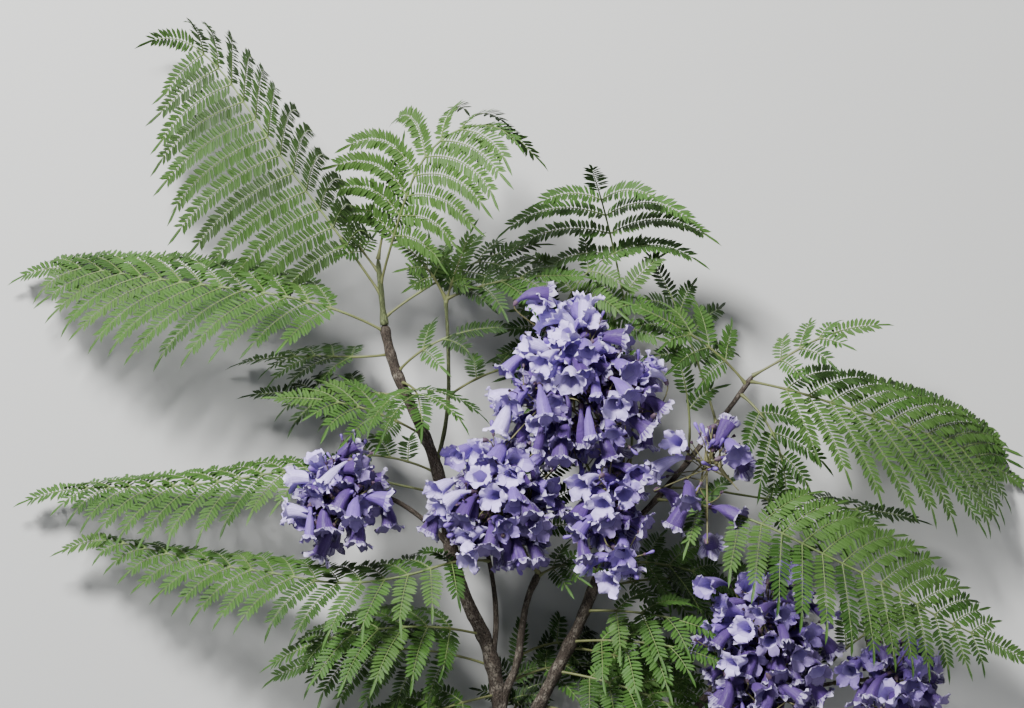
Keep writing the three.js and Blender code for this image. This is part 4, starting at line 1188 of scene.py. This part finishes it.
# Shares of wilted and half-open flowers, and how they differ from open ones; openings in degrees
WILTED = 0.1
HALF_OPEN = 0.16
WILTED_MOUTH = 0.66
WILTED_NOD = 0.8
CLOSED_LOBE = 0.8
WILTED_OPENING, HALF_OPENING, FULL_OPENING = 38, 52, 96

# How single flowers differ: the ends of a range, or a spread
TRUMPET_RANGE = (0.88, 1.1)
MOUTH_RANGE = (0.86, 1.12)
LOBE_RANGE = (0.9, 1.15)
UP_SWAY = np.array([0.5, 0, 0.7])
PLEAT_SPREAD = 0.035
REACH_RANGE = (0.85, 1.15)
OPENING_SPREAD = 17

# The tube: the millimetres that it ends behind its site's mouth, its bend as shares of its length,
# and how it flattens and pleats towards the mouth
MOUTH_BEHIND = 5
BASE_BEHIND, BASE_BELOW = 0.92, 0.12
BEND_AHEAD, BEND_ABOVE = 0.36, (0.22, 0.4)
FLAT_ROWS = (0, 0.3, 0.6, 1)
FLAT_NECK, FLAT_BELLY, FLAT_MOUTH = 0.95, (0.72, 0.9), (0.8, 1)
PLEATED_ROWS = (0.35, 1)
PLEAT = 0.08

# A lobe: how the upper ones differ from the lower, its first bend in degrees, its ruffle in
# millimetres, its rounding and its notch
UPPER_COSINE = 0.2
UPPER_LOBE, UPPER_OPENING = 0.9, 1.15
LOWER_LOBE, LOWER_OPENING = 1.1, 0.9
FIRST_BEND = 28
LOBE_WIDTH_RANGE = (0.92, 1.1)
RUFFLE_WAVES, RUFFLE = (3.0, 4.6), 2.2
CURL_SPREAD, CRUMPLE_SPREAD = 1.5, 0.75
ROUNDING = 0.42
NOTCH, NOTCH_WIDTH = 0.14, 0.3


def add_trumpet(skin, site, length, mouth_radius, facing, random):
    """A flower's tube: gives its base, where it heads there, its rim and the mouth's three axes."""
    up = -DOWN_ON_TREE + UP_SWAY * random.uniform(-1, 1, 3)
    up = unit(up - facing * (up @ facing))
    end = site["mouth"] - facing * MOUTH_BEHIND
    base = end - facing * length * BASE_BEHIND - up * length * BASE_BELOW
    bend = base + facing * length * BEND_AHEAD + up * length * random.uniform(*BEND_ABOVE)
    line = curve_points(base, bend, end, TUBE_ROWS)
    ahead = unit(np.gradient(line, axis=0))
    above = unit(up - ahead * (ahead @ up)[:, None])
    beside = np.cross(ahead, above)
    turn = even_turns(AROUND)[None]
    radius = TUBE_RADII * mouth_radius / TUBE_RADII[-1]
    radius[:NECK_ROWS] = TUBE_RADII[:NECK_ROWS]
    flats = (1, FLAT_NECK, random.uniform(*FLAT_BELLY), random.uniform(*FLAT_MOUTH))
    flat = np.interp(TUBE_ROWS, FLAT_ROWS, flats)[:, None]
    growing = np.interp(TUBE_ROWS, PLEATED_ROWS, (0, 1))[:, None]
    uneven = random.normal(0, PLEAT_SPREAD, (len(TUBE_ROWS), AROUND))
    pleat = 1 + growing * (PLEAT * np.cos(LOBES * turn) + uneven)
    cosine = (np.cos(turn) * pleat * flat)[..., None]
    sine = (np.sin(turn) * pleat)[..., None]
    rings = line[:, None] + (above[:, None] * cosine + beside[:, None] * sine) * radius[:, None, None]
    uvs = grid_map(turn / (2 * math.pi) * LOBES, TUBE_ROWS[:, None] * TUBE_MAP)
    skin.add(rings, grid_faces(len(TUBE_ROWS), AROUND, True), uvs, slot=0)
    return base, unit(bend - base), rings[-1], (ahead[-1], above[-1], beside[-1])


def add_flower(skin, site, settings, random):
    """One trumpet flower with its five lobes; gives its base and where it heads there."""
    kind = random.random()
    wilted = kind < WILTED
    closed = kind < WILTED + HALF_OPEN
    length = settings.flower_length / MM * random.uniform(*TRUMPET_RANGE)
    mouth_radius = settings.mouth_radius / MM * random.uniform(*MOUTH_RANGE) * (WILTED_MOUTH if wilted else 1)
    lobe_length = settings.lobe_length / MM * (CLOSED_LOBE if closed else random.uniform(*LOBE_RANGE))
    facing = unit(site["facing"] + DOWN_ON_TREE * WILTED_NOD) if wilted else site["facing"]
    base, heading, rim, axes = add_trumpet(skin, site, length, mouth_radius, facing, random)
    spread = WILTED_OPENING if wilted else HALF_OPENING if closed else FULL_OPENING
    for lobe in range(LOBES):
        first = LOBE_COLUMNS * lobe
        foot = rim[(first + np.arange(LOBE_COLUMNS + 1)) % AROUND]
        turn = (first + LOBE_COLUMNS / 2) * 2 * math.pi / AROUND
        upper = math.cos(turn) > UPPER_COSINE
        reach = lobe_length * (UPPER_LOBE if upper else LOWER_LOBE) * random.uniform(*REACH_RANGE)
        opening = spread * (UPPER_OPENING if upper else LOWER_OPENING) + random.normal(0, OPENING_SPREAD)
        add_lobe(skin, foot, axes, turn, reach, opening, lobe, random)
    return base, heading


def add_lobe(skin, foot, axes, turn, reach, opening, lobe, random):
    """A petal lobe on five corners of the mouth's rim, bent back, ruffled and notched."""
    axis, top, right = axes
    out = top * math.cos(turn) + right * math.sin(turn)
    side = right * math.cos(turn) - top * math.sin(turn)
    angles = np.radians(np.linspace(min(FIRST_BEND, opening), opening, len(LOBE_ROWS)))[:, None]
    forward = axis * np.cos(angles) + out * np.sin(angles)
    normal = out * np.cos(angles) - axis * np.sin(angles)
    spine = np.cumsum(forward * np.diff(LOBE_ROWS, prepend=0)[:, None] * reach, axis=0)
    place = np.linspace(-1, 1, LOBE_COLUMNS + 1)[None]
    grown = LOBE_ROWS[:, None]
    centre = foot[LOBE_COLUMNS // 2]
    offset = foot - centre
    across = offset @ side
    sag = offset - across[:, None] * side
    widths = LOBE_WIDTHS * random.uniform(*LOBE_WIDTH_RANGE)
    widths[0] = 1
    sheet = (centre + spine[:, None] + sag[None] * (1 - grown)[..., None]
             + side * (across[None] * widths[:, None])[..., None])
    wave = np.sin(place * random.uniform(*RUFFLE_WAVES) + random.uniform(0, 2 * math.pi)) * RUFFLE
    curl = random.normal(0, CURL_SPREAD) * place ** 2
    crumple = random.normal(0, CRUMPLE_SPREAD, (len(LOBE_ROWS), LOBE_COLUMNS + 1))
    lift = (wave + curl) * grown + crumple * grown
    notch = NOTCH * np.exp(-(place / NOTCH_WIDTH) ** 2) * grown ** 4
    shorter = -reach * (ROUNDING * place ** 2 * grown ** 2 + notch)
    sheet = sheet + normal[:, None] * lift[..., None] + forward[:, None] * shorter[..., None]
    uvs = grid_map((place + 1) / 2 + lobe, TUBE_MAP + grown)
    skin.add(sheet, grid_faces(len(LOBE_ROWS), LOBE_COLUMNS + 1, False), uvs, slot=1)


# Cups and buds: rows of a place along and a radius, and the direction that their rings keep level with
CALYX_ROWS = ((-1.6, 0.9), (0, 2.2), (2.4, 2.6), (4.2, 2.9))
BUD_ROWS = np.array([0, 0.2, 0.42, 0.62, 0.8, 0.93])
BUD_RADII = np.array([0.9, 1.1, 1.7, 2.6, 2.9, 1.8])
BUD_LENGTH = 20
BUD_BEND = 0.12
CUP_REFERENCE = (0.3, 0.2, 0.9)


def add_calyx(skin, base, ahead, scale=1.0):
    """The cup that a flower or a bud stands in."""
    rows = np.array(CALYX_ROWS) * scale
    add_tube(skin, base + ahead * rows[:, :1], rows[:, 1], 8, CUP_REFERENCE, capped=False)


def add_bud(skin, base, ahead, size, random):
    """A closed bud: a slender club, bent a little."""
    bend = unit(np.cross(ahead, random.normal(0, 1, 3)))
    line = base + ahead * (BUD_ROWS * size)[:, None] + bend * (BUD_BEND * size * BUD_ROWS ** 2)[:, None]
    add_tube(skin, line, BUD_RADII * size / BUD_LENGTH, 7, CUP_REFERENCE)


# Pieces
def claim(piece, slot, *nodes):
    """Makes a piece ride on the part and stand for nodes, whose solids it hides; slot is not used."""
    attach(piece, "root")
    if nodes:
        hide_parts(*nodes)


# The stage: the height that the camera looks at and its sensor in millimetres, the rest in metres
VIEW_HEIGHT = 110
SENSOR_WIDTH = 36
KEY_PLACE, KEY_SIZE = (-1.1, 1.9, 2.3), 0.7
FILL_PLACE, FILL_SIZE = (1.8, -1.2, 1.9), 2.0
LIGHT_TARGET = (0, 0, 0.08)
SKY_COLOR = (0.86, 0.92, 1, 1)
FLOOR_SIZE = 14
FLOOR_DEPTH = 0.0006


def add_light(name, place, size, power):
    """A round light that shines at the branch."""
    bpy.ops.object.light_add(type="AREA", location=place)
    light = bpy.context.object
    light.name = name
    light.data.shape = "DISK"
    light.data.size = size
    light.data.energy = power
    light.rotation_euler = (Vector(LIGHT_TARGET) - light.location).to_track_quat("-Z", "Y").to_euler()


class BRANCH_OT_stage(bpy.types.Operator):
    """Add the camera, the lights and the floor"""

    bl_idname = "branch.stage"
    bl_label = "Stage"

    def execute(self, context):
        settings = context.scene.branch_stage
        distance = Vector((0, 0, settings.camera_distance))
        bpy.ops.object.camera_add(location=Vector(to_row((0, 0, VIEW_HEIGHT))) + distance, rotation=(0, 0, 0))
        camera = context.object
        camera.name = "camera"
        camera.data.sensor_width = SENSOR_WIDTH
        camera.data.lens = SENSOR_WIDTH * settings.camera_distance / settings.frame_width
        camera.data.clip_end = 50
        camera.data.dof.use_dof = False
        context.scene.camera = camera

        add_light("key_light", KEY_PLACE, KEY_SIZE, settings.key_power)
        add_light("fill_light", FILL_PLACE, FILL_SIZE, settings.fill_power)
        world = context.scene.world or bpy.data.worlds.new("studio")
        context.scene.world = world
        world.use_nodes = True
        sky = world.node_tree.nodes["Background"]
        sky.inputs["Color"].default_value = SKY_COLOR
        sky.inputs["Strength"].default_value = settings.sky_strength

        bpy.ops.object.select_all(action="DESELECT")
        bpy.ops.mesh.primitive_plane_add(size=FLOOR_SIZE, location=(0, 0, -FLOOR_DEPTH))
        bpy.ops.object.transform_apply(location=True, rotation=True, scale=True)
        floor = context.object
        floor.name = "floor"
        material, tree, shader = new_material("floor", roughness=0.85, specular=0.2)
        tone = place_group(tree, uneven_tone(), Color=settings.floor_color, Patch_Scale=3.0, Amount=0.015)
        feed(tree, shader.inputs["Base Color"], tone.outputs["Color"])
        floor.data.materials.append(material)
        return {"FINISHED"}


# Limbs: corners round them, millimetres between their rings, and how far a collar at the foot
# reaches in foot radii; then the swelling at a joint, the long and short waves and the rounded tip
BARK_SIDES = 24
BARK_PITCH = 2.5
COLLAR_REACH = 3.2
JOINT_SWELL, JOINT_REACH = 0.14, 7.0
LONG_WAVE, LONG_PITCH = 0.03, 11.0
SHORT_WAVE, SHORT_PITCH = 0.015, 4.3
TIP_RADII = (0.95, 0.8, 0.45)

# The bark's relief: the texture's size and detail, and its depth on slender and on thick limbs
SLENDER_RADIUS = 4
LUMPS = dict(scale=0.009, detail=4, depths=(0.55, 1.5))
GRAIN = dict(scale=0.0028, detail=2, depths=(0.25, 0.6))

# How much paler a shoot's patches are than its bark
SHOOT_PATCH = 1.7

# The cut: the rim of bark and two rings of bare wood, in metres, and the bluntest edge that shows,
# in degrees
CUT_RIM = 0.0009
CUT_RING, CUT_SINK = 0.004, 0.0001
CUT_EDGE = 40


def limb_radii(plan, share, joints, collar):
    """Radii along a limb, thick at its foot and at each joint, in millimetres."""
    distance = share * plan["length"]
    radius = blend(plan["radii"], share)
    if "on" in plan:
        radius = radius * (1 + collar * np.exp(-(distance / (COLLAR_REACH * plan["radii"][0])) ** 2))
    for joint in joints:
        gap = (distance - joint * plan["length"]) / JOINT_REACH
        radius = radius * (1 + JOINT_SWELL * np.exp(-gap ** 2))
    ripple = (np.sin(distance / LONG_PITCH + plan["length"]) * LONG_WAVE
              + np.sin(distance / SHORT_PITCH) * SHORT_WAVE)
    radius = radius * (1 + ripple)
    if "on" in plan:
        radius[-len(TIP_RADII):] *= TIP_RADII
    return radius


def shape_limb(plan, joints, collar):
    """A curve through the limb's course, made a mesh with closed ends."""
    count = int(plan["length"] / BARK_PITCH) + 1
    share = np.linspace(0, 1, count)
    points = to_row(COURSES[plan["name"]].at(share))
    bpy.ops.object.select_all(action="DESELECT")
    bpy.ops.curve.primitive_nurbs_path_add()
    curve = bpy.context.object.data
    curve.splines.clear()
    spline = curve.splines.new("POLY")
    spline.points.add(count - 1)
    spline.points.foreach_set("co", np.column_stack([points, np.ones(count)]).ravel())
    spline.points.foreach_set("radius", limb_radii(plan, share, joints, collar))
    curve.dimensions = "3D"
    curve.twist_mode = "MINIMUM"
    curve.bevel_depth = MM
    curve.bevel_resolution = (BARK_SIDES - 4) // 2
    curve.use_fill_caps = False
    bpy.ops.object.convert(target="MESH")
    piece = bpy.context.object
    piece.name = f"{plan['name']}_bark"
    piece.data.name = piece.name
    lay_map(piece.data, plan["length"])
    close_ends()
    bpy.ops.object.shade_smooth()
    return piece


def lay_map(mesh, length):
    """Rewrites a limb's UV map: once round across, and metres along."""
    corners = np.zeros(len(mesh.loops), int)
    mesh.loops.foreach_get("vertex_index", corners)
    corners = corners.reshape(-1, 4)
    rings = len(mesh.vertices) // BARK_SIDES
    across = corners % BARK_SIDES / BARK_SIDES
    across = np.where(np.ptp(across, axis=1, keepdims=True) > 0.5, across + (across < 0.5), across)
    along = corners // BARK_SIDES / (rings - 1) * length * MM
    mesh.uv_layers[0].name = "UVMap"
    mesh.uv_layers[0].data.foreach_set("uv", np.stack([across, along], axis=-1).ravel())


def close_ends():
    """Fills the open ends of the active mesh and turns its faces outwards."""
    bpy.ops.object.mode_set(mode="EDIT")
    bpy.ops.mesh.select_mode(type="EDGE")
    bpy.ops.mesh.select_all(action="DESELECT")
    bpy.ops.mesh.select_non_manifold(extend=False, use_boundary=True, use_wire=False,
                                     use_multi_face=False, use_non_contiguous=False, use_verts=False)
    bpy.ops.mesh.fill_holes(sides=0)
    bpy.ops.mesh.select_all(action="SELECT")
    bpy.ops.mesh.normals_make_consistent(inside=False)
    bpy.ops.object.mode_set(mode="OBJECT")


def cloud_texture(name, relief):
    texture = bpy.data.textures.new(name, "CLOUDS")
    texture.noise_scale = relief["scale"]
    texture.noise_depth = relief["detail"]
    return texture


def roughen(piece, texture, depth):
    """Moves the active mesh's skin in and out by a texture."""
    bpy.ops.object.modifier_add(type="DISPLACE")
    modifier = piece.modifiers[-1]
    modifier.texture = texture
    modifier.texture_coords = "LOCAL"
    modifier.strength = depth
    modifier.mid_level = 0.5
    bpy.ops.object.modifier_apply(modifier=modifier.name)


def finish_cut(piece, color):
    """The flat cut: a rim of bark, then bare wood with its rings."""
    course = COURSES["stem_base"]
    centre, ahead = to_row(course.at(0.0)), Vector(course.along(0.0))
    piece.data.materials.append(wood_material(color, centre))
    ends = [polygon for polygon in piece.data.polygons if len(polygon.vertices) > 4]
    if not ends:
        raise RuntimeError("the stem's cut end has no face")
    cut = min(ends, key=lambda polygon: polygon.center[1])
    for index in cut.vertices:
        spot = piece.data.vertices[index].co
        spot -= ahead * ((spot - Vector(centre)) @ ahead)
    cut_index = cut.index
    bpy.ops.object.mode_set(mode="EDIT")
    bpy.ops.mesh.select_mode(type="FACE")
    bpy.ops.object.mode_set(mode="OBJECT")
    for polygon in piece.data.polygons:
        polygon.select = polygon.index == cut_index
    bpy.ops.object.mode_set(mode="EDIT")
    bpy.ops.mesh.inset(thickness=CUT_RIM, depth=0.0)
    piece.active_material_index = 1
    bpy.ops.object.material_slot_assign()
    bpy.ops.mesh.inset(thickness=CUT_RING, depth=-CUT_SINK)
    bpy.ops.mesh.inset(thickness=CUT_RING, depth=-CUT_SINK)
    bpy.ops.mesh.poke()
    bpy.ops.object.mode_set(mode="OBJECT")
    bpy.ops.object.shade_smooth_by_angle(angle=math.radians(CUT_EDGE))


class BRANCH_OT_limbs(bpy.types.Operator):
    """Model the stem, the boughs and the twigs with the relief of their bark"""

    bl_idname = "branch.limbs"
    bl_label = "Stem, boughs and twigs"

    def execute(self, context):
        settings = context.scene.branch_bark
        bark = bark_material("old_bark", tuple(settings.bark_color), tuple(settings.patch_color))
        young, patch = tuple(settings.shoot_color), shade(settings.shoot_color, SHOOT_PATCH)
        shoot = bark_material("young_bark", young, patch, length_scale=60.0)
        reliefs = [(cloud_texture("bark_lumps", LUMPS), LUMPS), (cloud_texture("bark_grain", GRAIN), GRAIN)]
        joints = {}
        for plan in LIMBS[1:] + LEAVES + LESSER_LEAVES + CLUSTERS:
            joints.setdefault(plan["on"], []).append(plan.get("at", 1))
        for plan in LIMBS:
            thick = int(plan["radii"][0] >= SLENDER_RADIUS)
            piece = shape_limb(plan, joints.get(plan["name"], []), settings.collar)
            for texture, relief in reliefs:
                roughen(piece, texture, settings.relief * relief["depths"][thick])
            green = plan["name"].startswith("shoot")
            piece.data.materials.append(shoot if green else bark)
            if plan["name"] == "stem_base":
                finish_cut(piece, tuple(settings.wood_color))
            claim(piece, "green_bark" if green else "bark", plan["name"])
        return {"FINISHED"}


# Stalks: a leaf's stalk stops short of its tip and tapers to it, and swells at its foot and at each
# pair of pinnae; a rib stops short of the last leaflet. Millimetres, and shares of a rib's length
STALK_STEP = 5.0
STALK_SHORT = 14
STALK_TAPER = ((14, 90), (0.45, 1))
STALK_FOOT, STALK_FOOT_REACH = 1.2, 6.0
STALK_NODE, STALK_NODE_REACH = 0.35, 3.0
RIB_SHORT = 8
RIB_RADII = ((0, 0.08, 0.2, 1), (1.05, 0.8, 0.6, 0.3))


def stalk_radii(leaf, distance):
    """Radii along a leaf's stalk, in millimetres."""
    taper = np.interp(leaf["length"] - distance, *STALK_TAPER)
    radii = blend(RACHIS_RADII, distance / leaf["length"]) * taper
    radii = radii + STALK_FOOT * np.exp(-(distance / STALK_FOOT_REACH) ** 2)
    for root in pinna_roots(leaf):
        radii = radii + STALK_NODE * np.exp(-((distance - root) / STALK_NODE_REACH) ** 2)
    return radii


class BRANCH_OT_stalks(bpy.types.Operator):
    """Model the leaf stalks and the ribs of their pinnae"""

    bl_idname = "branch.stalks"
    bl_label = "Leaf stalks and ribs"

    def execute(self, context):
        settings = context.scene.branch_leaves
        stalks, ribs = Skin(), Skin()
        for leaf in LEAVES + LESSER_LEAVES:
            distance = np.arange(0, leaf["length"] - STALK_SHORT, STALK_STEP)
            line = COURSES[leaf["name"]].at(distance / leaf["length"])
            add_tube(stalks, line, stalk_radii(leaf, distance), sides=8)
        for _, pinna in grow_pinnae():
            if isinstance(pinna, Pinna):
                part = np.linspace(0, 1 - RIB_SHORT / pinna.length, 9)
                add_tube(ribs, pinna.at(part), np.interp(part, *RIB_RADII), sides=5)
        stalk_color, rib_color = tuple(settings.stalk_color), tuple(settings.rib_color)
        piece = stalks.build("leaf_stalks", stalk_material("leaf_stalk", stalk_color, far_color=rib_color))
        claim(piece, "leaf", *[leaf["name"] for leaf in LEAVES])
        piece = ribs.build("leaf_ribs", stalk_material("leaf_rib", rib_color, roughness=0.5))
        claim(piece, "leaf")
        return {"FINISHED"}


class BRANCH_OT_leaflets(bpy.types.Operator):
    """Clothe every pinna with its leaflets, a piece for each green, each with light and shade painted in"""

    bl_idname = "branch.leaflets"
    bl_label = "Leaflets"

    def execute(self, context):
        settings = context.scene.branch_leaves
        random = np.random.default_rng(SEED)
        tones = {"lit": settings.lit_color, "young_and_painted_glow": settings.fresh_color,
                 "painted_half_shade": settings.mid_color, "painted_shade": settings.deep_color}
        skins = {tone: Skin() for tone in tones}
        # A pinna's green is painted sunlight or shade, mostly its leaf's and on some pinnae another
        for leaf, pinna in grow_pinnae():
            tone = leaf["tone"]
            if random.random() < OTHER_TONE_SHARE:
                tone = random.choice(OTHER_TONES[tone])
            clothe_pinna(skins[tone], pinna, settings, random)
        for tone, skin in skins.items():
            piece = skin.build(f"leaflets_{tone}", leaf_material(f"leaf_{tone}", tuple(tones[tone])))
            claim(piece, "leaf")
        return {"FINISHED"}


# Flower colours, with light and shade painted in: flowers facing the light are painted paler, and
# clusters in the shade and flowers far inside are painted darker; how bright a pale or violet
# flower is at least, and how much a lobe's inside has of its own and the throat's colour
SHADED = {"flowers_low_right": 0.65, "flowers_far_right": 0.5, "flowers_right": 0.3, "flowers_front": 0.2}
SUNWARD = unit([-0.5, 0.6, 0.6])
TONE_SPREAD = 0.3
INSIDE_SHADE, INSIDE_DEPTH = 0.5, 0.7
PALE_FROM, VIOLET_FROM = 0.34, -0.18
STREAK_SHADE = 0.5
OWN_SHARE, THROAT_SHARE = 0.7, 0.3

# Flower twigs, in millimetres: a cluster's axis tapers, the twigs of the solids' flowers start on
# it, and the others fork from those
AXIS_TAPER = ((0.5, 1), (1, 0.45))
AXIS_RINGS = 14
CALYX_FOOT = 1.0
KEPT_TWIG = dict(bend=12, rings=7, radii=(1.15, 0.75))
SPARE_TWIG = dict(bend=9, rings=6, radii=(0.9, 0.7))
FORK_RING = 3
SPARE_FOOT = 0.6

# Buds: how many, how far out of the shell they may stand, and their sizes and twigs in millimetres
BUDS_PER_FLOWER = 3.2
BUD_LIMIT = 1.05
BUD_FOOT_RINGS = (2, 5)
BUD_STRAY, BUD_NOD = 0.6, 0.35
BUD_SIZES = (9, 19)
BUD_REACH = (14, 38)
BUD_TWIG_BEND = 2.0
BUD_TWIG_RINGS, BUD_TWIG_RADII = 5, (0.75, 0.5)
LOWEST_BUD = 14
BUD_SHARE = 0.62
BUD_CUP = 0.6


def tone_of(site, random):
    """Painted light: flowers high on the shell and on its lit side are painted paler, shaded ones darker."""
    value = site["facing"] @ SUNWARD + random.normal(0, TONE_SPREAD)
    value -= INSIDE_SHADE if site["depth"] < INSIDE_DEPTH else 0
    value -= SHADED.get(site["cluster"], 0)
    if value > PALE_FROM:
        return "pale"
    return "violet" if value > VIOLET_FROM else "painted_shade"


def nearest_fork(stems, base):
    """A place part way along the nearest twig."""
    forks = np.array([stem[FORK_RING] for stem in stems])
    return forks[np.linalg.norm(forks - base, axis=1).argmin()]


def add_buds(cluster, stems, twigs, cups, buds, random):
    """Buds and empty cups on thin twigs between the flowers."""
    centre = np.array(cluster["centre"], float)
    radii = np.array(cluster["radii"], float)
    for _ in range(int(cluster["flowers"] * BUDS_PER_FLOWER)):
        stem = stems[int(random.integers(len(stems)))]
        foot = stem[int(random.integers(*BUD_FOOT_RINGS))]
        around = unit((foot - centre) / radii + random.normal(0, BUD_STRAY, 3) - DOWN_ON_TREE * BUD_NOD)
        ahead = unit(around * radii)
        size = random.uniform(*BUD_SIZES)
        tip = foot + ahead * random.uniform(*BUD_REACH)
        if np.linalg.norm((tip - centre) / radii) > BUD_LIMIT or tip[2] < LOWEST_BUD:
            continue
        middle = (foot + tip) / 2 + random.normal(0, BUD_TWIG_BEND, 3)
        line = curve_points(foot, middle, tip, BUD_TWIG_RINGS)
        add_tube(twigs, line, np.linspace(*BUD_TWIG_RADII, BUD_TWIG_RINGS), sides=5)
        ahead = unit(line[-1] - line[-2])
        if random.random() < BUD_SHARE:
            add_bud(buds, tip, ahead, size, random)
        add_calyx(cups, tip, ahead, BUD_CUP)


class BRANCH_OT_flowers(bpy.types.Operator):
    """Model the flowers with their cups, buds and twigs"""

    bl_idname = "branch.flowers"
    bl_label = "Flowers, buds and their twigs"

    def execute(self, context):
        settings = context.scene.branch_flowers
        random = np.random.default_rng(SEED + 1)
        tones = {"pale": settings.pale_color, "violet": settings.violet_color, "painted_shade": settings.deep_color}
        petals = {tone: Skin() for tone in tones}
        twigs, cups, buds = Skin(), Skin(), Skin()
        share = np.linspace(0, 1, AXIS_RINGS)
        for cluster in CLUSTERS:
            radii = blend(AXIS_RADII, share) * np.interp(share, *AXIS_TAPER)
            add_tube(twigs, COURSES[cluster["name"]].at(share), radii, sides=8)
        stems = {cluster["name"]: [] for cluster in CLUSTERS}
        for site in plan_flowers():
            # The petals' colour paints in the sunlight or shade at the flower's place
            petal = petals[tone_of(site, random)]
            base, ahead = add_flower(petal, site, settings, random)
            add_calyx(cups, base, ahead)
            course, grown = COURSES[site["cluster"]], stems[site["cluster"]]
            twig = KEPT_TWIG if site["kept"] else SPARE_TWIG
            if site["kept"]:
                foot = course.at(site["sprung"])
            else:
                foot = nearest_fork(grown, base) if grown else course.at(SPARE_FOOT)
            line = curve_points(foot, base - ahead * twig["bend"], base - ahead * CALYX_FOOT, twig["rings"])
            add_tube(twigs, line, np.linspace(*twig["radii"], twig["rings"]), sides=5)
            if site["kept"]:
                grown.append(line)
        for cluster in CLUSTERS:
            add_buds(cluster, stems[cluster["name"]], twigs, cups, buds, random)

        twig = stalk_material("flower_twig", tuple(settings.twig_color))
        cup = stalk_material("flower_cup", tuple(settings.calyx_color), roughness=0.6)
        bud = stalk_material("flower_bud", tuple(settings.violet_color), roughness=0.5)
        names = [cluster["name"] for cluster in CLUSTERS]
        claim(twigs.build("flower_twigs", twig), "petal", *names)
        claim(cups.build("flower_cups", cup), "petal")
        claim(buds.build("flower_buds", bud), "petal")
        throat = tuple(settings.throat_color)
        # Pale and deep petals are the violet with painted sunlight and painted shade
        for tone, skin in petals.items():
            color = tuple(tones[tone])
            dark = shade(color, STREAK_SHADE)
            inner = tuple(OWN_SHARE * own + THROAT_SHARE * other for own, other in zip(color, throat))
            trumpet = petal_material(f"trumpet_{tone}", color, throat, dark, streak=0.5, rim=0.0)
            # Lobes: pale streaks, and a pale edge that is a painted highlight
            lobe = petal_material(f"lobe_{tone}", color, inner, PALE_STREAK_AND_PAINTED_HIGHLIGHT, streak=0.45, rim=0.5)
            claim(skin.build(f"petals_{tone}", trumpet, lobe), "petal")
        return {"FINISHED"}


class BRANCH_PT_panel(bpy.types.Panel):
    """Lists the pieces of the branch"""

    bl_idname = "BRANCH_PT_panel"
    bl_label = "Flowering branch"
    bl_space_type = "VIEW_3D"
    bl_region_type = "UI"
    bl_category = "Branch"

    def draw(self, context):
        for name, settings, operator in (
                ("Stage", "branch_stage", "branch.stage"), ("Bark", "branch_bark", "branch.limbs"),
                ("Leaves", "branch_leaves", "branch.leaflets"), ("Stalks", None, "branch.stalks"),
                ("Flowers", "branch_flowers", "branch.flowers")):
            box = self.layout.box()
            box.label(text=name)
            if settings:
                group = getattr(context.scene, settings)
                for label in group.__annotations__:
                    box.prop(group, label)
            box.operator(operator)


SETTINGS = {
    "branch_bark": BranchBarkSettings,
    "branch_leaves": BranchLeafSettings,
    "branch_flowers": BranchFlowerSettings,
    "branch_stage": BranchStageSettings,
}
CLASSES = [*SETTINGS.values(), BRANCH_OT_stage, BRANCH_OT_limbs, BRANCH_OT_stalks,
           BRANCH_OT_leaflets, BRANCH_OT_flowers, BRANCH_PT_panel]


def register():
    for cls in CLASSES:
        bpy.utils.register_class(cls)
    for name, cls in SETTINGS.items():
        setattr(bpy.types.Scene, name, bpy.props.PointerProperty(type=cls))


def unregister():
    for name in SETTINGS:
        delattr(bpy.types.Scene, name)
    for cls in reversed(CLASSES):
        bpy.utils.unregister_class(cls)


def main():
    register()
    bpy.ops.branch.stage()
    bpy.ops.branch.limbs()
    bpy.ops.branch.stalks()
    bpy.ops.branch.leaflets()
    bpy.ops.branch.flowers()
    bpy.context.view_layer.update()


if __name__ == "__main__":
    main()
